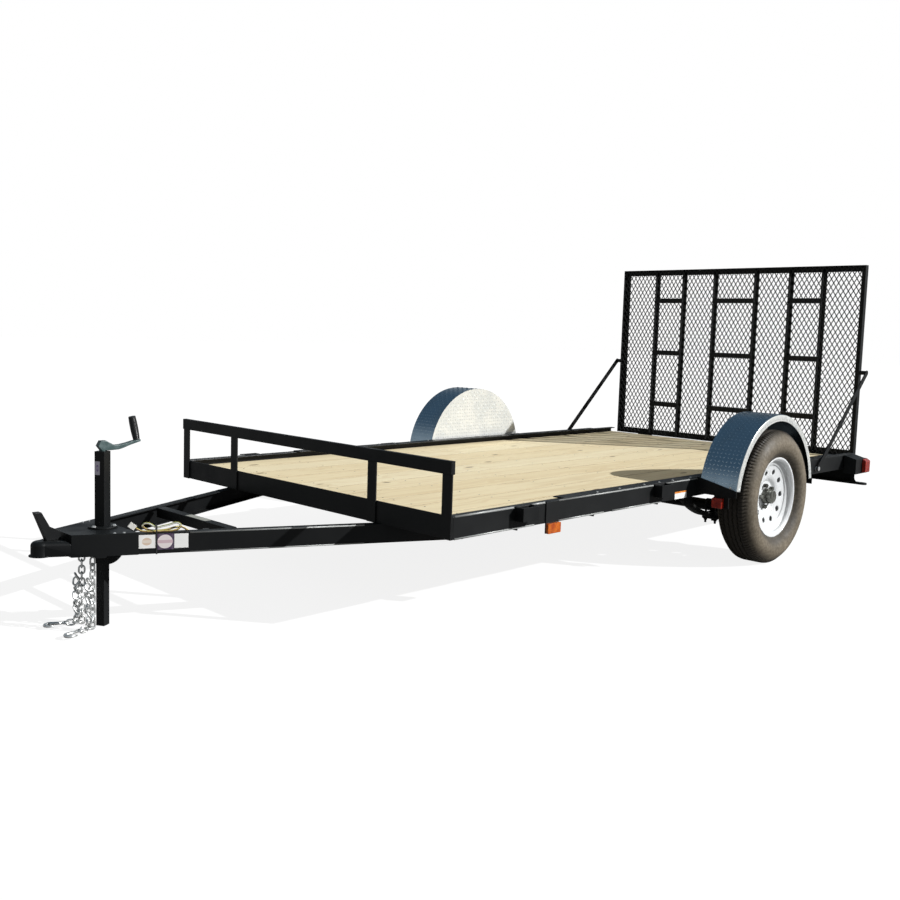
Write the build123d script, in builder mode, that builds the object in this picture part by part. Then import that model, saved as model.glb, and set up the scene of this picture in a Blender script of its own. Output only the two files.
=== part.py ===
from build123d import *
import math
import os

# Utility trailer, six feet by twelve, single axle, with a ramp gate.
# Millimetres. +X towards the coupler, +Y to the trailer's left, +Z up.
# The origin is on the ground, under the middle of the whole length and width.

INCH = 25.4

# ---- running gear ----
TYRE_RADIUS = 344.0
TYRE_WIDTH = 198.0
TYRE_TREAD_WIDTH = 132.0
TYRE_SHOULDER_DROP = 12.0
TYRE_BEAD_HALF = 58.0
TYRE_COLLAR_HALF = 69.0
TYRE_COLLAR_RADIUS = 209.0
WHEEL_OUTSET = 136.0
RIM_FLANGE_RADIUS = 206.0
RIM_BEAD_RADIUS = 190.0
RIM_WELL_RADIUS = 166.0
RIM_FLANGE_HALF = 70.0
RIM_BEAD_HALF = 60.0
RIM_LEDGE_HALF = 48.0
RIM_LEDGE_RADIUS = 189.0
RIM_WELL_HALF = 38.0
RIM_SHEET = 4.0
DISC_SHEET = 5.0
DISC_FACE = 5.0
DISC_RING_RADIUS = 92.0
DISC_RING_FACE = 18.0
DISC_RING_RUN = 18.0
DISC_BEND = 2.0
DISC_EDGE_FACE = 30.0
HUB_HOLE_RADIUS = 41.0
STUD_CIRCLE_RADIUS = 57.15
STUD_COUNT = 5
STUD_RADIUS = 6.5
STUD_HOLE_RADIUS = 8.0
NUT_RADIUS = 11.0
NUT_HEIGHT = 20.0
VENT_COUNT = 10
VENT_CIRCLE_RADIUS = 128.0
VENT_RADIUS = 14.0
HUB_BARREL_RADIUS = 39.0
HUB_FLANGE_RADIUS = 72.0
HUB_FLANGE_THICK = 14.0
HUB_BACK = 52.0
HUB_FRONT = 28.0
CAP_RADIUS = 30.0
CAP_LENGTH = 24.0
SPINDLE_RADIUS = 18.0
SPINDLE_CLEAR = 0.3
SPINDLE_SHORT = 8.0
HUB_BORE_SHORT = 4.0
AXLE_TUBE_RADIUS = 30.0
AXLE_DROP = 94.0
DROP_ARM_INSET = 102.0
DROP_ARM_THICK = 34.0
DROP_ARM_HALF = 27.0
DROP_ARM_TOP_OVER = 17.0
SPRING_INSET = 140.0
SPRING_WIDTH = 45.0
SPRING_HALF_SPAN = 320.0
SPRING_THICK = 24.0
SPRING_EYE_RADIUS = 19.0
SPRING_EYE_Z = 322.0
EYE_BOLT_RADIUS = 7.0
EYE_BOLT_CLEAR = 0.25
HANGER_THICK = 6.0
HANGER_GAP = 2.0
HANGER_HALF = 34.0
HANGER_DEPTH_BELOW_EYE = 26.0

# ---- frame ----
FRAME_LENGTH = 144 * INCH
NOSE_REACH = 1157.0
AXLE_SHARE = 0.4078
FRAME_HALF = 940.0
RAIL_HEIGHT = 3.5 * INCH
RAIL_LEG = 3 * INCH
RAIL_TOP_LEG = 1.5 * INCH
RAIL_STEEL = 0.25 * INCH
RAIL_BOTTOM = 365.0
CAP_WIDTH = 60.0
CAP_STEEL = 5.0
CAP_FRONT_SET = 666.0
CAP_REAR_SET = 271.6
REAR_MEMBER_BOTTOM = 262.0
REAR_FLANGE = 50.0
CROSS_STEEL = 6.0
CROSS_LEG = 2 * INCH
CROSS_FLANGE = 1.5 * INCH
TAB_WIDTH = 50.0
TAB_STEEL = 12.0
TAB_REACH = 93.0
TAB_HOLE_RADIUS = 10.0

# ---- deck ----
BOARD_COUNT = 10
BOARD_THICK = 38.0
BOARD_GAP = 3.0
DECK_TOP = 422.0

# ---- front railing ----
RAILING_TOP = 660.0
RAILING_LEG = 2 * INCH
RAILING_STEEL = 5.0
RAILING_DEPTH = 20.0
POST_WIDTH = 2 * INCH
POST_STEEL = 6.0
INNER_POST_Y = 492.0

# ---- tongue and coupler ----
TONGUE_APEX_REACH = 1184.0
TONGUE_HALF_ANGLE = 25.0
TONGUE_TUCK = 316.0
TONGUE_TIP_REACH = 1014.0
TONGUE_HEIGHT = 3 * INCH
TONGUE_FLANGE = 1.5 * INCH
TONGUE_STEEL = 5.0
TONGUE_BAR_REACH = 502.0
TONGUE_BAR_WIDTH = 40.0
TONGUE_BAR_HEIGHT = 40.0
TONGUE_BAR_STEEL = 5.0
BAR_END_GAP = 0.3
COUPLER_REAR_REACH = 832.0
COUPLER_STEEL = 5.0
COUPLER_SEAT = 0.2
CUT_OVER = 1.0
COUPLER_SHOULDER_REACH = 1039.0
BALL_RADIUS = 25.7
BALL_HOUSING_RADIUS = 34.0
BALL_HOUSING_TOP = 348.0
BALL_HOUSING_ROUND = 16.0
BALL_BORE_DEPTH = 20.0
COUPLER_BOTTOM = 294.0
COUPLER_LIP = 41.0
COUPLER_LIP_STEEL = 4.0
CHAIN_PLATE_REACH = 932.0
CHAIN_PLATE_LENGTH = 32.0
CHAIN_PLATE_STEEL = 6.0

# ---- jack ----
JACK_REACH = 887.0
JACK_TURN = 30.0
JACK_TUBE_SIDE = 40.0
JACK_TUBE_WALL = 2.6
JACK_LEG_GAP = 0.4
JACK_LEG_WALL = 3.0
JACK_TUBE_TOP = 654.0
JACK_TUBE_BOTTOM = 236.0
JACK_LEG_TOP = 390.0
JACK_CAP_THICK = 5.0
JACK_FLANGE_RADIUS = 52.0
JACK_FLANGE_THICK = 6.0
CRANK_NECK_RADIUS = 12.0
CRANK_NECK_HEIGHT = 12.0
CRANK_ARM_HALF = 12.0
CRANK_ARM_ROUND = 3.0
CRANK_GRIP_FOOT = (-134.0, 34.0)
CRANK_GRIP_TIP = (-115.0, 123.0)
CRANK_GRIP_FOOT_RADIUS = 12.0
CRANK_GRIP_BELLY_RADIUS = 14.5
CRANK_GRIP_TIP_RADIUS = 13.0
GUSSET_STEEL = 6.0
GUSSET_RADIUS = 62.0
GUSSET_SET_BACK = 23.0

# ---- gate ----
GATE_STANDOFF = 38.4
GATE_DEPTH = 1.5 * INCH
GATE_STEEL = 5.0
GATE_BAR = 1.5 * INCH
GATE_INSET = 29.0
GATE_BOTTOM = 421.0
GATE_HEIGHT = 48 * INCH
GATE_UPRIGHTS = (155.0, 405.0, 630.0)
GATE_UPRIGHT_WIDTH = 1.5 * INCH
RUNG_HEIGHTS = (250.0, 630.0, 1010.0)
RUNG_BAR = 1.25 * INCH
MESH_THICK = 3.0
MESH_COLUMNS = 12
MESH_ROWS = 5
MESH_STRAND = 14.0
MESH_EDGE = 12.0
HINGE_STANDOFF = 20.4
HINGE_Z = 396.0
HINGE_Y = 670.0
HINGE_PIN_RADIUS = 8.0
HINGE_PIN_CLEAR = 0.4
KNUCKLE_RADIUS = 15.0
KNUCKLE_WIDTH = 100.0
EAR_STEEL = 8.0
EAR_GAP = 1.0

# ---- gate braces ----
BRACE_PIVOT_SET = 571.6
BRACE_PIVOT_Z = 398.0
BRACE_TOP_Z = 962.0
BRACE_WIDTH = 1.25 * INCH
BRACE_STEEL = 6.0
BRACE_STANDOFF = 10.0
BRACE_PIN_RADIUS = 7.0
BRACE_PIN_CLEAR = 0.3
BRACE_SIDE_GAP = 0.5
BRACE_HEAD = 5.0
BRACE_HEAD_RADIUS = 12.0
BRACE_BOSS_RADIUS = 13.0

# ---- fenders ----
FENDER_LEAD = 18.0
FENDER_RADIUS = 415.0
FENDER_CENTRE_Z = 355.0
FENDER_FOOT_Z = 413.0
FENDER_STANDOFF = 12.0
FENDER_WIDTH = 201.0
FENDER_SHEET = 3.0
FENDER_LIP = 22.0
FENDER_ARM_STEEL = 6.0
FENDER_ARM_WIDTH = 32.0
FENDER_PLATE_BOTTOM = 380.0
FENDER_PLATE_RISE = 48.0
MARKER_DROP = 42.0
MARKER_PLATE_OVER = 24.0

# ---- lamps ----
LAMP_LENGTH = 142.0
LAMP_REAR_SET = 39.6
LAMP_STANDOFF = 6.0
LAMP_WIDTH = 76.0
LAMP_TOP = 452.0
LAMP_BOTTOM = 340.0
LAMP_SLOPE = 20.0
LENS_THICK = 22.0
LENS_LENGTH = 47.0
LENS_TOP_CHAMFER = 14.0
LENS_BOTTOM_CHAMFER = 8.0
LAMP_FOOT = 40.0
LAMP_BRACKET_STEEL = 6.0
LAMP_BRACKET_REACH = 21.0
LAMP_BRACKET_ROUND = 30.0
AMBER_SET = 587.0
AMBER_LENGTH = 84.0
AMBER_HEIGHT = 42.0
AMBER_DEPTH = 14.0
MARKER_PLATE_LENGTH = 84.0
MARKER_PLATE_STEEL = 5.0
RED_OUTSET = 124.0
RED_LENGTH = 24.0
RED_WIDTH = 54.0
RED_HEIGHT = 48.0

# ---- stake pockets, chains, harness ----
POCKET_SETS = (402.0, 1393.0)
POCKET_LENGTH = 98.0
POCKET_HEIGHT = 56.0
POCKET_DEPTH = 46.0
POCKET_STEEL = 6.0
CHAIN_REACH = 947.0
CHAIN_Y = 44.0
CHAIN_WIRE = 7.0
CHAIN_INNER_WIDTH = 13.0
CHAIN_LINKS = 11
CHAIN_SLACK = 0.4
CHAIN_SEAT = 0.3
CHAIN_EYE_HEIGHT = 6.0
CHAIN_EYE_LENGTH = 28.0
CHAIN_TURN = {"left": 14.0, "right": -24.0}
HOOK_THICK = 8.0
HOOK_EYE_RADIUS = 14.0
HOOK_EYE_HOLE = 6.0
HOOK_SHANK = 52.0
HOOK_BEND_RADIUS = 24.0
HOOK_BEND_HOLE = 13.0
CORD_RADIUS = 3.0

RAIL_TOP = RAIL_BOTTOM + RAIL_HEIGHT
RAIL_LEG_TOP = RAIL_BOTTOM + RAIL_STEEL
OVERALL_LENGTH = GATE_STANDOFF + GATE_DEPTH + FRAME_LENGTH + NOSE_REACH
FRAME_FRONT = OVERALL_LENGTH / 2 - NOSE_REACH
FRAME_REAR = FRAME_FRONT - FRAME_LENGTH
AXLE_X = FRAME_REAR + AXLE_SHARE * FRAME_LENGTH
TRACK_HALF = FRAME_HALF + WHEEL_OUTSET
DROP_ARM_INNER = FRAME_HALF - DROP_ARM_INSET
SPRING_Y = FRAME_HALF - SPRING_INSET
CAP_FRONT = FRAME_FRONT - CAP_FRONT_SET
CAP_REAR = FRAME_REAR + CAP_REAR_SET
TAB_CENTRE_Y = FRAME_HALF + TAB_REACH - TAB_WIDTH / 2
TAB_TOP = REAR_MEMBER_BOTTOM + TAB_STEEL
TONGUE_APEX = FRAME_FRONT + TONGUE_APEX_REACH
TONGUE_REAR = FRAME_FRONT - TONGUE_TUCK
TONGUE_TIP = FRAME_FRONT + TONGUE_TIP_REACH
TONGUE_BAR_X = FRAME_FRONT + TONGUE_BAR_REACH
COUPLER_REAR = FRAME_FRONT + COUPLER_REAR_REACH
COUPLER_SHOULDER = FRAME_FRONT + COUPLER_SHOULDER_REACH
BALL_X = FRAME_FRONT + NOSE_REACH - COUPLER_LIP
CHAIN_PLATE_REAR = FRAME_FRONT + CHAIN_PLATE_REACH
JACK_X = FRAME_FRONT + JACK_REACH
GUSSET_X = JACK_X - GUSSET_SET_BACK
GATE_FRONT = FRAME_REAR - GATE_STANDOFF
GATE_HALF = FRAME_HALF - GATE_INSET
HINGE_X = FRAME_REAR - HINGE_STANDOFF
BRACE_PIVOT_X = FRAME_REAR + BRACE_PIVOT_SET
BRACE_TOP_X = GATE_FRONT - GATE_DEPTH / 2
BRACE_INNER_Y = FRAME_HALF + BRACE_STANDOFF
FENDER_X = AXLE_X + FENDER_LEAD
FENDER_INNER_Y = FRAME_HALF + FENDER_STANDOFF
FENDER_OUTER_Y = FENDER_INNER_Y + FENDER_WIDTH
LAMP_REAR = FRAME_REAR + LAMP_REAR_SET
LAMP_FRONT = LAMP_REAR + LAMP_LENGTH
LAMP_INNER_Y = FRAME_HALF + LAMP_STANDOFF
LAMP_OUTER_Y = LAMP_INNER_Y + LAMP_WIDTH
AMBER_X = FRAME_FRONT - AMBER_SET
RED_Y = FRAME_HALF + RED_OUTSET
CHAIN_X = FRAME_FRONT + CHAIN_REACH
RAIL_FRONT = FRAME_FRONT - RAIL_STEEL
RAIL_REAR = FRAME_REAR + RAIL_STEEL
RAIL_RUN = RAIL_FRONT - RAIL_REAR
DECK_BOTTOM = DECK_TOP - BOARD_THICK
WHEEL_Z = TYRE_RADIUS
AXLE_TUBE_Z = WHEEL_Z - AXLE_DROP
TONGUE_TOP = RAIL_BOTTOM
TONGUE_BOTTOM = TONGUE_TOP - TONGUE_HEIGHT
TONGUE_SLOPE = math.tan(math.radians(TONGUE_HALF_ANGLE))
TONGUE_COS = math.cos(math.radians(TONGUE_HALF_ANGLE))
TONGUE_SIN = math.sin(math.radians(TONGUE_HALF_ANGLE))
COUPLER_TOP = TONGUE_TOP + COUPLER_SEAT + COUPLER_STEEL
CHAIN_PLATE_BOTTOM = TONGUE_BOTTOM - CHAIN_PLATE_STEEL
GUSSET_BOTTOM = TONGUE_BOTTOM - GUSSET_RADIUS
JACK_BORE_SIDE = JACK_TUBE_SIDE - 2 * JACK_TUBE_WALL
JACK_LEG_SIDE = JACK_BORE_SIDE - 2 * JACK_LEG_GAP
GATE_TOP = GATE_BOTTOM + GATE_HEIGHT
SIDES = (("left", 1), ("right", -1))

os.makedirs("parts", exist_ok=True)


def tongue_outer_y(x):
    return (TONGUE_APEX - x) * TONGUE_SLOPE


def save(builder, name):
    builder.part.label = name
    export_step(builder.part, f"parts/{name}.step")


def slab(x0, x1, y0, y1, z0, z1, mode=Mode.ADD):
    """A plain block between two corners."""
    low_y, high_y = min(y0, y1), max(y0, y1)
    low_x, high_x = min(x0, x1), max(x0, x1)
    low_z, high_z = min(z0, z1), max(z0, z1)
    with Locations((low_x, low_y, low_z)):
        Box(high_x - low_x, high_y - low_y, high_z - low_z,
            align=(Align.MIN, Align.MIN, Align.MIN), mode=mode)


def rod(start, end, radius, mode=Mode.ADD):
    """A round bar between two points."""
    direction = Vector(*end) - Vector(*start)
    with Locations(Plane(origin=start, z_dir=direction)):
        Cylinder(radius, direction.length, align=(Align.CENTER, Align.CENTER, Align.MIN), mode=mode)


# ---------------------------------------------------------------- side rails
for side, s in SIDES:
    with BuildPart() as rail:
        slab(RAIL_REAR, RAIL_FRONT, s * (FRAME_HALF - RAIL_STEEL), s * FRAME_HALF,
             RAIL_BOTTOM, RAIL_TOP)
        slab(RAIL_REAR, RAIL_FRONT, s * (FRAME_HALF - RAIL_LEG), s * FRAME_HALF,
             RAIL_BOTTOM, RAIL_LEG_TOP)
        slab(RAIL_REAR, RAIL_FRONT, s * (FRAME_HALF - RAIL_TOP_LEG), s * FRAME_HALF,
             RAIL_TOP - RAIL_STEEL, RAIL_TOP)
    save(rail, f"rail_{side}")

    with BuildPart() as rail_cap:
        slab(CAP_REAR, CAP_FRONT, s * (FRAME_HALF - CAP_WIDTH), s * FRAME_HALF,
             RAIL_TOP, RAIL_TOP + CAP_STEEL)
    save(rail_cap, f"rail_cap_{side}")

# ---------------------------------------------------------------- end members
with BuildPart() as front_member:
    slab(RAIL_FRONT, FRAME_FRONT, -FRAME_HALF, FRAME_HALF, RAIL_BOTTOM, RAIL_TOP)
    slab(RAIL_FRONT - RAIL_LEG, FRAME_FRONT, -(FRAME_HALF - RAIL_LEG), FRAME_HALF - RAIL_LEG,
         RAIL_BOTTOM, RAIL_LEG_TOP)
save(front_member, "front_member")

with BuildPart() as rear_member:
    slab(FRAME_REAR, RAIL_REAR, -FRAME_HALF, FRAME_HALF, REAR_MEMBER_BOTTOM, DECK_TOP)
    slab(FRAME_REAR, FRAME_REAR + REAR_FLANGE, -FRAME_HALF, FRAME_HALF,
         REAR_MEMBER_BOTTOM, REAR_MEMBER_BOTTOM + RAIL_STEEL)
    # A round-ended lug stands out from each end, level with the lower flange.
    for side, s in SIDES:
        lug = (FRAME_REAR + TAB_WIDTH / 2, s * TAB_CENTRE_Y)
        slab(FRAME_REAR, FRAME_REAR + TAB_WIDTH, s * FRAME_HALF, s * TAB_CENTRE_Y,
             REAR_MEMBER_BOTTOM, TAB_TOP)
        with BuildSketch(Plane.XY.offset(REAR_MEMBER_BOTTOM)):
            with Locations(lug):
                Circle(TAB_WIDTH / 2)
        extrude(amount=TAB_STEEL)
        with BuildSketch(Plane.XY.offset(REAR_MEMBER_BOTTOM)):
            with Locations(lug):
                Circle(TAB_HOLE_RADIUS)
        extrude(amount=TAB_STEEL, mode=Mode.SUBTRACT)
save(rear_member, "rear_member")

# ---------------------------------------------------------------- crossmembers
CROSS_SHARES = (0.127, 0.270, 0.412, 0.554, 0.696, 0.838, 0.948)
with BuildPart() as crossmembers:
    for share in CROSS_SHARES:
        x = FRAME_FRONT - share * FRAME_LENGTH
        slab(x, x + CROSS_FLANGE, -(FRAME_HALF - RAIL_STEEL), FRAME_HALF - RAIL_STEEL,
             DECK_BOTTOM - CROSS_STEEL, DECK_BOTTOM)
        slab(x, x + CROSS_STEEL, -(FRAME_HALF - RAIL_LEG), FRAME_HALF - RAIL_LEG,
             DECK_BOTTOM - CROSS_LEG, DECK_BOTTOM - CROSS_STEEL)
save(crossmembers, "crossmembers")

# ---------------------------------------------------------------- deck boards
DECK_SIDE_GAP = 1.0
DECK_HALF = FRAME_HALF - RAIL_STEEL - CAP_STEEL - DECK_SIDE_GAP
BOARD_WIDTH = (2 * DECK_HALF - (BOARD_COUNT - 1) * BOARD_GAP) / BOARD_COUNT
with BuildPart() as deck_boards:
    for index in range(BOARD_COUNT):
        board_y = -DECK_HALF + index * (BOARD_WIDTH + BOARD_GAP)
        slab(RAIL_REAR, RAIL_FRONT, board_y, board_y + BOARD_WIDTH, DECK_BOTTOM, DECK_TOP)
save(deck_boards, "deck_boards")

# ---------------------------------------------------------------- front railing
RAILING_FACE = FRAME_FRONT + POST_STEEL
with BuildPart() as front_posts:
    for y in (-FRAME_HALF + POST_WIDTH / 2, -INNER_POST_Y, INNER_POST_Y, FRAME_HALF - POST_WIDTH / 2):
        slab(FRAME_FRONT, RAILING_FACE, y - POST_WIDTH / 2, y + POST_WIDTH / 2,
             RAIL_BOTTOM, RAILING_TOP - RAILING_STEEL)
save(front_posts, "front_posts")

with BuildPart() as front_rail:
    slab(RAILING_FACE, RAILING_FACE + RAILING_STEEL, -FRAME_HALF, FRAME_HALF,
         RAILING_TOP - RAILING_LEG, RAILING_TOP)
    slab(RAILING_FACE + RAILING_STEEL - RAILING_DEPTH, RAILING_FACE, -FRAME_HALF, FRAME_HALF,
         RAILING_TOP - RAILING_STEEL, RAILING_TOP)
    for side, s in SIDES:
        slab(RAILING_FACE + RAILING_STEEL - RAILING_DEPTH, FRAME_FRONT, s * (FRAME_HALF - RAILING_STEEL),
             s * FRAME_HALF, RAILING_TOP - RAILING_LEG, RAILING_TOP - RAILING_STEEL)
save(front_rail, "front_rail")

# ---------------------------------------------------------------- tongue
TONGUE_RUN = (TONGUE_TIP - TONGUE_REAR) / TONGUE_COS
for side, s in SIDES:
    beam_plane = Plane(
        origin=(TONGUE_REAR, s * tongue_outer_y(TONGUE_REAR), TONGUE_TOP),
        x_dir=(s * TONGUE_SIN, TONGUE_COS, 0),
        z_dir=(TONGUE_COS, -s * TONGUE_SIN, 0),
    )
    with BuildPart() as tongue_beam:
        with BuildSketch(beam_plane):
            with Locations((0, 0)):
                Rectangle(TONGUE_FLANGE, TONGUE_HEIGHT,
                          align=(Align.MAX if s > 0 else Align.MIN, Align.MAX))
            with Locations((-s * TONGUE_STEEL, -TONGUE_STEEL)):
                Rectangle(TONGUE_FLANGE, TONGUE_HEIGHT - 2 * TONGUE_STEEL,
                          align=(Align.MAX if s > 0 else Align.MIN, Align.MAX),
                          mode=Mode.SUBTRACT)
        extrude(amount=TONGUE_RUN)
    save(tongue_beam, f"tongue_beam_{side}")

BAR_HALF = tongue_outer_y(TONGUE_BAR_X + TONGUE_BAR_WIDTH / 2) - TONGUE_FLANGE / TONGUE_COS - BAR_END_GAP
with BuildPart() as tongue_crossbar:
    slab(TONGUE_BAR_X - TONGUE_BAR_WIDTH / 2, TONGUE_BAR_X + TONGUE_BAR_WIDTH / 2,
         -BAR_HALF, BAR_HALF, TONGUE_TOP - TONGUE_BAR_STEEL, TONGUE_TOP)
    slab(TONGUE_BAR_X + TONGUE_BAR_WIDTH / 2 - TONGUE_BAR_STEEL, TONGUE_BAR_X + TONGUE_BAR_WIDTH / 2,
         -BAR_HALF, BAR_HALF, TONGUE_TOP - TONGUE_BAR_HEIGHT, TONGUE_TOP)
save(tongue_crossbar, "tongue_crossbar")

# ---------------------------------------------------------------- coupler
SKIRT = (COUPLER_SEAT + COUPLER_STEEL) / TONGUE_COS
SEAT = COUPLER_SEAT / TONGUE_COS


def coupler_outline(margin, front, rear):
    """Plan of the coupler, with its sides set off from the beams' outer faces."""
    rear_y = tongue_outer_y(rear) + margin
    front_y = tongue_outer_y(front) + margin
    Polygon((rear, rear_y), (rear, -rear_y), (front, -front_y), (front, front_y),
            align=None)


with BuildPart() as coupler:
    # Ball housing, rounded over the top.
    with BuildSketch(Plane.XY.offset(COUPLER_BOTTOM)):
        with Locations((BALL_X, 0)):
            Circle(BALL_HOUSING_RADIUS)
        NOSE_REAR_Y = tongue_outer_y(COUPLER_SHOULDER) + SKIRT
        Polygon((COUPLER_SHOULDER, NOSE_REAR_Y), (COUPLER_SHOULDER, -NOSE_REAR_Y),
                (BALL_X, -BALL_HOUSING_RADIUS), (BALL_X, BALL_HOUSING_RADIUS), align=None)
    extrude(amount=BALL_HOUSING_TOP - COUPLER_BOTTOM)
    fillet(coupler.edges().group_by(Axis.Z)[-1], radius=BALL_HOUSING_ROUND)
    with BuildSketch(Plane.XY.offset(TONGUE_BOTTOM)):
        coupler_outline(SKIRT, COUPLER_SHOULDER, COUPLER_REAR)
    extrude(amount=COUPLER_TOP - TONGUE_BOTTOM)
    with BuildSketch(Plane.XY.offset(COUPLER_BOTTOM)):
        with Locations((BALL_X, 0)):
            Circle(COUPLER_LIP)
    extrude(amount=COUPLER_LIP_STEEL)
    with BuildSketch(Plane.XY.offset(TONGUE_BOTTOM - CUT_OVER)):
        coupler_outline(SEAT, COUPLER_SHOULDER - COUPLER_STEEL, COUPLER_REAR - CUT_OVER)
    extrude(amount=COUPLER_TOP - COUPLER_STEEL - TONGUE_BOTTOM + CUT_OVER, mode=Mode.SUBTRACT)
    with BuildSketch(Plane.XY.offset(COUPLER_BOTTOM)):
        with Locations((BALL_X, 0)):
            Circle(BALL_RADIUS)
    extrude(amount=BALL_BORE_DEPTH, mode=Mode.SUBTRACT)
    with Locations((BALL_X, 0, COUPLER_BOTTOM + BALL_BORE_DEPTH)):
        Sphere(BALL_RADIUS, mode=Mode.SUBTRACT)
    # Plate under the skirts, which carries the chain eyes.
    with BuildSketch(Plane.XY.offset(CHAIN_PLATE_BOTTOM)):
        coupler_outline(SKIRT, CHAIN_PLATE_REAR + CHAIN_PLATE_LENGTH, CHAIN_PLATE_REAR)
    extrude(amount=CHAIN_PLATE_STEEL)
    with BuildSketch(Plane.XY.offset(COUPLER_TOP - 2 * COUPLER_STEEL)):
        with Locations((JACK_X, 0)):
            Rectangle(JACK_TUBE_SIDE + 2 * COUPLER_SEAT, JACK_TUBE_SIDE + 2 * COUPLER_SEAT,
                      rotation=JACK_TURN)
    extrude(amount=3 * COUPLER_STEEL, mode=Mode.SUBTRACT)
save(coupler, "coupler")

# Latch lever: a raised handle over the nose, and its foot on the nose's top.
LATCH_HALF = 14.0
LATCH_FOOT_REAR = -66.0
LATCH_FOOT_FRONT = -16.0
LATCH_TIP_FRONT = 25.0
LATCH_TIP_REAR = 2.0
LATCH_NECK = -27.0
LATCH_TIP_RISE = 104.0
LATCH_NECK_RISE = 50.0
LATCH_FOOT_RISE = 30.0
LATCH_POINTS = (
    (BALL_X + LATCH_FOOT_REAR, BALL_HOUSING_TOP),
    (BALL_X + LATCH_FOOT_FRONT, BALL_HOUSING_TOP),
    (BALL_X + LATCH_TIP_FRONT, BALL_HOUSING_TOP + LATCH_TIP_RISE),
    (BALL_X + LATCH_TIP_REAR, BALL_HOUSING_TOP + LATCH_TIP_RISE),
    (BALL_X + LATCH_NECK, BALL_HOUSING_TOP + LATCH_NECK_RISE),
    (BALL_X + LATCH_FOOT_REAR, BALL_HOUSING_TOP + LATCH_FOOT_RISE),
)
with BuildPart() as coupler_latch:
    with BuildSketch(Plane.XZ.offset(-LATCH_HALF)):
        Polygon(*LATCH_POINTS, align=None)
    extrude(amount=2 * LATCH_HALF)
save(coupler_latch, "coupler_latch")

# ---------------------------------------------------------------- jack
with BuildPart() as jack_tube:
    with BuildSketch(Plane.XY.offset(JACK_TUBE_BOTTOM)):
        with Locations((JACK_X, 0)):
            Rectangle(JACK_TUBE_SIDE, JACK_TUBE_SIDE, rotation=JACK_TURN)
    extrude(amount=JACK_TUBE_TOP - JACK_TUBE_BOTTOM)
    with BuildSketch(Plane.XY.offset(COUPLER_TOP)):
        with Locations((JACK_X, 0)):
            Circle(JACK_FLANGE_RADIUS)
    extrude(amount=JACK_FLANGE_THICK)
    # Half-round gusset through the tube, under the tongue.
    with BuildSketch(Plane.XZ.offset(-GUSSET_STEEL / 2)):
        with Locations((GUSSET_X, TONGUE_BOTTOM)):
            Circle(GUSSET_RADIUS)
            Rectangle(2 * GUSSET_RADIUS, GUSSET_RADIUS, align=(Align.CENTER, Align.MAX),
                      mode=Mode.INTERSECT)
    extrude(amount=GUSSET_STEEL)
    with BuildSketch(Plane.XY.offset(GUSSET_BOTTOM - CUT_OVER)):
        with Locations((JACK_X, 0)):
            Rectangle(JACK_BORE_SIDE, JACK_BORE_SIDE, rotation=JACK_TURN)
    extrude(amount=JACK_TUBE_TOP - JACK_CAP_THICK - GUSSET_BOTTOM + CUT_OVER, mode=Mode.SUBTRACT)
save(jack_tube, "jack_tube")

with BuildPart() as jack_leg:
    with BuildSketch(Plane.XY):
        with Locations((JACK_X, 0)):
            Rectangle(JACK_LEG_SIDE, JACK_LEG_SIDE, rotation=JACK_TURN)
    extrude(amount=JACK_LEG_TOP)
    with BuildSketch(Plane.XY.offset(JACK_LEG_WALL)):
        with Locations((JACK_X, 0)):
            Rectangle(JACK_LEG_SIDE - 2 * JACK_LEG_WALL, JACK_LEG_SIDE - 2 * JACK_LEG_WALL,
                      rotation=JACK_TURN)
    extrude(amount=JACK_LEG_TOP, mode=Mode.SUBTRACT)
save(jack_leg, "jack_leg")

# Crank: a thick flat arm, folded down behind its head and up again to the grip.
CRANK_PROFILE = (
    (22, 20), (11, 39), (-9, 39), (-24, 30), (-44, 20), (-64, 21), (-92, 26), (-121, 33), (-146, 36),
    (-146, 29), (-106, 18), (-78, 8), (-58, 3), (-28, 2), (8, 2),
)


def crank_place(along, rise):
    return (JACK_X + along, 0, JACK_TUBE_TOP + rise)


grip_axis = Vector(*crank_place(*CRANK_GRIP_TIP)) - Vector(*crank_place(*CRANK_GRIP_FOOT))
grip_plane = Plane(origin=crank_place(*CRANK_GRIP_FOOT), x_dir=(0, 1, 0),
                   z_dir=Vector(0, 1, 0).cross(grip_axis))
with BuildPart() as jack_crank:
    with BuildSketch(Plane(origin=crank_place(0, 0), x_dir=(1, 0, 0), z_dir=(0, -1, 0))):
        Polygon(*CRANK_PROFILE, align=None)
    extrude(amount=CRANK_ARM_HALF, both=True)
    fillet(jack_crank.edges().filter_by(Axis.Y, reverse=True), radius=CRANK_ARM_ROUND)
    rod(crank_place(0, 0), crank_place(0, CRANK_NECK_HEIGHT), CRANK_NECK_RADIUS)
    with BuildSketch(grip_plane):
        with BuildLine():
            grip_length = grip_axis.length
            Polyline((CRANK_GRIP_TIP_RADIUS, grip_length), (0, grip_length), (0, 0),
                     (CRANK_GRIP_FOOT_RADIUS, 0))
            ThreePointArc((CRANK_GRIP_FOOT_RADIUS, 0), (CRANK_GRIP_BELLY_RADIUS, grip_length / 2),
                          (CRANK_GRIP_TIP_RADIUS, grip_length))
        make_face()
    revolve(axis=Axis(crank_place(*CRANK_GRIP_FOOT), grip_axis))
save(jack_crank, "jack_crank")

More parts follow.
